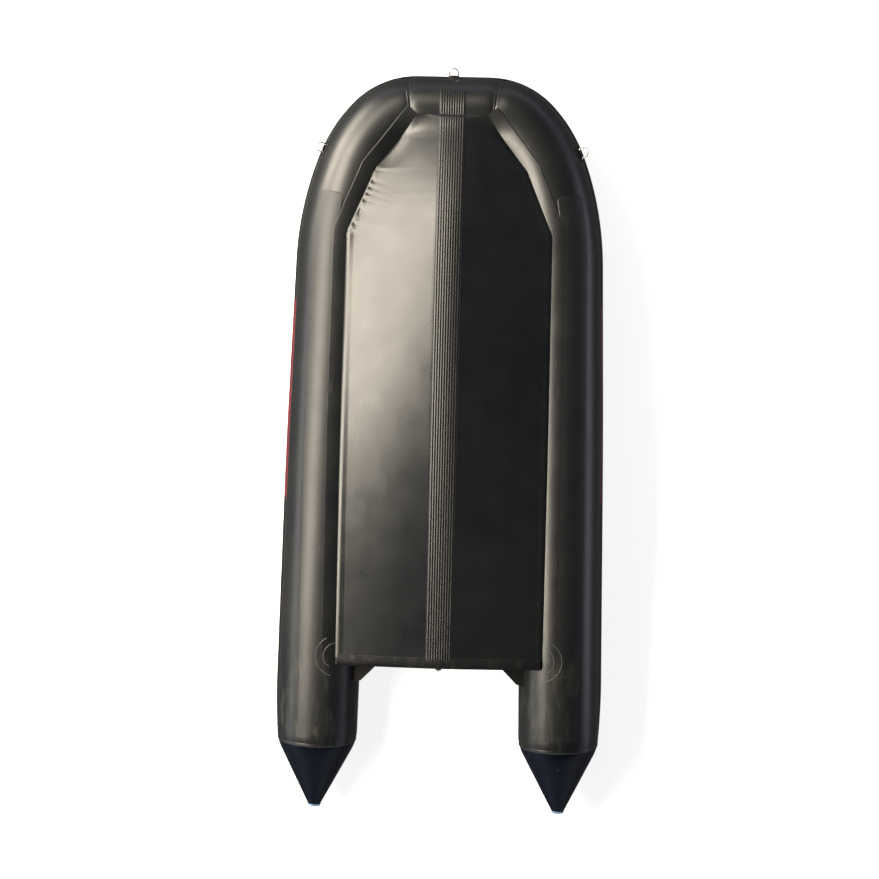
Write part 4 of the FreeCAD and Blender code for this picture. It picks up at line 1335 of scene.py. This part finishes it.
def floor_point(across, along, lift):
    """Place on the flat floor panels, with the lift towards the keel."""
    sizes = bpy.context.scene.boat_floor
    step = min(max(math.floor((along - sizes.start) / sizes.pitch), 0), sizes.panels - 1)
    start = sizes.start + step * sizes.pitch
    first = unrolled(0.0, start, sizes.deck)
    ahead = unrolled(0.0, start + sizes.pitch, sizes.deck) - first
    normal = Vector((0.0, -ahead.z, ahead.y)).normalized()
    share = (along - start) / sizes.pitch
    return first + ahead * share + normal * lift + Vector((across, 0.0, 0.0))


def floor_half(along):
    """Half width between the tubes at the deck face."""
    sizes = tube_sizes()
    line = sizes.half_spacing - along * math.tan(sizes.toe_in)
    return line - math.sqrt(sizes.radius ** 2 - bpy.context.scene.boat_floor.deck ** 2)


class BOAT_OT_floor_ribs(bpy.types.Operator):
    """Raises rows of non-slip ribs on the deck face of each floor panel"""
    bl_idname = "boat.floor_ribs"
    bl_label = "Floor ribs"

    def execute(self, context):
        sizes = context.scene.boat_floor
        ribs = []
        for panel in range(sizes.panels):
            start = sizes.start + panel * sizes.pitch + sizes.end_margin
            stop = start + sizes.pitch - 2 * sizes.end_margin
            ribs.append(self.sheet(floor_half(stop) - sizes.edge_margin, start, stop, sizes.ribs))
        finished(joined("floor_rib_rows", ribs), "floor_alloy", smooth=20)
        return {"FINISHED"}

    def sheet(self, half, start, stop, count):
        """Ribs of one panel, joined by strips that lie just inside it."""
        foot = 0.0035
        crown = 0.0018
        sunk = 0.0003
        raised = -0.0013
        profile = ((-foot, sunk), (-crown, raised), (crown, raised), (foot, sunk))
        columns = len(profile) * (2 * count + 1) - 1
        runs = (start, start + 0.01, stop - 0.01, stop)

        def place(u, v):
            rib, corner = divmod(round(u * columns), len(profile))
            side, lift = profile[corner]
            row = round(v * 3)
            height = lift if row in (1, 2) else sunk
            return floor_point(half * (rib / count - 1) + side, runs[row], height)

        piece = grid_piece("ribs", columns, 3, place)
        thickened(piece, 0.0004)
        return piece


# Finishes of the solids that stay

SOLID_FINISHES = {
    "transom": "transom_board",
    "motor_plate": "nylon",
    "transom_holder": "fitting_rubber",
    "stern_patch": "tube_pvc",
    "drain_valve": "nylon",
    "floor_panels": "floor_alloy",
    "floor_joiners": "floor_alloy",
    "stringer": "floor_alloy",
    "bow_board": "varnished_board",
    "seat_tracks": "fitting_rubber",
    "seat": "bench_alloy",
    "oarlock_base": "fitting_rubber",
    "oarlock": "nylon",
    "handle": "fitting_rubber",
    "valve": "nylon",
    "ring_patch": "fitting_rubber",
    "ring": "stainless",
}


class BOAT_OT_solid_finishes(bpy.types.Operator):
    """Gives every solid that stays in view the finish of its real material"""
    bl_idname = "boat.solid_finishes"
    bl_label = "Finishes of the solids"

    def execute(self, context):
        for name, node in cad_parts.items():
            words = [word for word in SOLID_FINISHES if word in name]
            look = SOLID_FINISHES[max(words, key=len)] if words else "tube_pvc"
            node.data.materials.clear()
            node.data.materials.append(finish(look))
        return {"FINISHED"}


# Studio

def area_light(name, place, aim, size, energy, colour="#fff3e0"):
    """Rectangular soft box that faces its aim, of a power in watts."""
    start_fresh()
    bpy.ops.object.light_add(type="AREA", location=place)
    lamp = bpy.context.object
    lamp.name = name
    lamp.data.shape = "RECTANGLE"
    lamp.data.size, lamp.data.size_y = size
    lamp.data.energy = energy
    lamp.data.color = linear(colour)[:3]
    lamp.rotation_euler = (Vector(aim) - Vector(place)).to_track_quat("-Z", "Y").to_euler()


class BOAT_OT_studio(bpy.types.Operator):
    """Sets the floor, the soft lights, the sky dome and the camera"""
    bl_idname = "boat.studio"
    bl_label = "Studio"

    def execute(self, context):
        sizes = context.scene.boat_studio
        self.ground(sizes)
        self.lamps()
        self.dome()
        self.camera(sizes)
        context.scene.view_settings.view_transform = "Standard"
        return {"FINISHED"}

    def ground(self, sizes):
        """White floor that glows enough for the boat's shadow to stay faint."""
        start_fresh()
        bpy.ops.mesh.primitive_plane_add(size=sizes.floor_size, location=(0.0, 0.0, 0.0))
        floor = bpy.context.object
        floor.name = "studio_floor"
        material, tree, shader = new_material("pale_floor", **{
            "Roughness": 0.9, "Base Color": linear("#d8d8d6"),
            "Emission Color": linear("#ffffff"), "Emission Strength": 0.87})
        floor.data.materials.append(material)
        floor.visible_glossy = False

    def lamps(self):
        """Warm keys from the side and the bow, with a glow and a rim beside the boat."""
        area_light("key", place=(-3.1, 0.9, 3.6), aim=(-0.4, 0.7, 0.3), size=(6.8, 2.0),
                   energy=640.0)
        area_light("bow_key", place=(-1.6, 5.2, 4.2), aim=(-0.2, 1.6, 0.35), size=(3.6, 2.0),
                   energy=70.0)
        area_light("low_key", place=(-4.5, 4.4, 1.9), aim=(-0.5, 1.5, 0.4), size=(3.2, 2.0),
                   energy=300.0)
        area_light("left_glow", place=(-6.5, 0.3, 1.5), aim=(0.0, 0.3, 0.3), size=(8.0, 1.6),
                   energy=100.0, colour="#f4f0ea")
        area_light("rim", place=(5.2, 0.5, 0.7), aim=(0.0, 0.5, 0.2), size=(6.0, 1.6),
                   energy=45.0, colour="#d8d8de")

    def dome(self):
        """Sky dome: dark overhead, pale along the horizon, grey below it."""
        world = bpy.data.worlds.new("dome")
        bpy.context.scene.world = world
        world.use_nodes = True
        tree = world.node_tree
        where = add_node(tree, "ShaderNodeTexCoord").outputs["Generated"]
        upward = add_node(tree, "ShaderNodeSeparateXYZ", [("Vector", where)]).outputs["Z"]
        height = add_node(tree, "ShaderNodeMapRange", [("Value", upward)],
                          **{"From Min": -0.3, "From Max": 0.7})
        ramp = add_node(tree, "ShaderNodeValToRGB", [("Fac", height.outputs["Result"])])
        ramp.color_ramp.elements[0].color = linear("#5c5c5c")
        ramp.color_ramp.elements[1].color = linear("#1b1e23")
        for place, colour in ((0.22, "#6a6e76"), (0.28, "#dfe8f6"), (0.42, "#c6d3e8"),
                              (0.60, "#4a505a")):
            ramp.color_ramp.elements.new(place).color = linear(colour)
        sky = tree.nodes["Background"]
        tree.links.new(ramp.outputs["Color"], sky.inputs["Color"])
        sky.inputs["Strength"].default_value = 0.9

    def camera(self, sizes):
        """Camera high over the boat, turned a little off straight down."""
        start_fresh()
        bpy.ops.object.camera_add(location=(0.197, -0.1255, sizes.camera_height))
        camera = bpy.context.object
        turn = Matrix.Identity(3)
        for axis, degrees in (("X", 0.722), ("Y", 1.305), ("Z", 1.457)):
            turn = turn @ Matrix.Rotation(math.radians(degrees), 3, axis)
        camera.rotation_euler = turn.to_euler()
        camera.data.sensor_width = 36.0
        camera.data.lens = sizes.lens
        camera.data.clip_end = 1000.0
        bpy.context.scene.camera = camera


class BOAT_PT_panel(bpy.types.Panel):
    """Lists the boat's pieces in the sidebar"""
    bl_idname = "BOAT_PT_panel"
    bl_label = "Inflatable boat"
    bl_space_type = "VIEW_3D"
    bl_region_type = "UI"
    bl_category = "Boat"

    def draw(self, context):
        for operator in OPERATORS:
            self.layout.operator(operator.bl_idname)


HOLDERS = {"boat_tubes": TubeSizes, "boat_cones": ConeSizes, "boat_bottom": BottomSizes,
           "boat_strakes": StrakeSizes, "boat_floor": FloorSizes, "boat_finishes": Finishes,
           "boat_studio": StudioSizes}
OPERATORS = (BOAT_OT_tubes, BOAT_OT_cones, BOAT_OT_seams, BOAT_OT_bottom, BOAT_OT_transom_edge,
             BOAT_OT_corner_patches, BOAT_OT_flanges, BOAT_OT_guard, BOAT_OT_wear_strips,
             BOAT_OT_strakes, BOAT_OT_floor_ribs, BOAT_OT_solid_finishes, BOAT_OT_studio)
CLASSES = (*HOLDERS.values(), *OPERATORS, BOAT_PT_panel)


def register():
    for kind in CLASSES:
        bpy.utils.register_class(kind)
    for name, group in HOLDERS.items():
        setattr(bpy.types.Scene, name, bpy.props.PointerProperty(type=group))


def unregister():
    for name in HOLDERS:
        delattr(bpy.types.Scene, name)
    for kind in reversed(CLASSES):
        bpy.utils.unregister_class(kind)


def main():
    register()
    for operator in OPERATORS:
        group, name = operator.bl_idname.split(".")
        getattr(getattr(bpy.ops, group), name)()


if __name__ == "__main__":
    main()
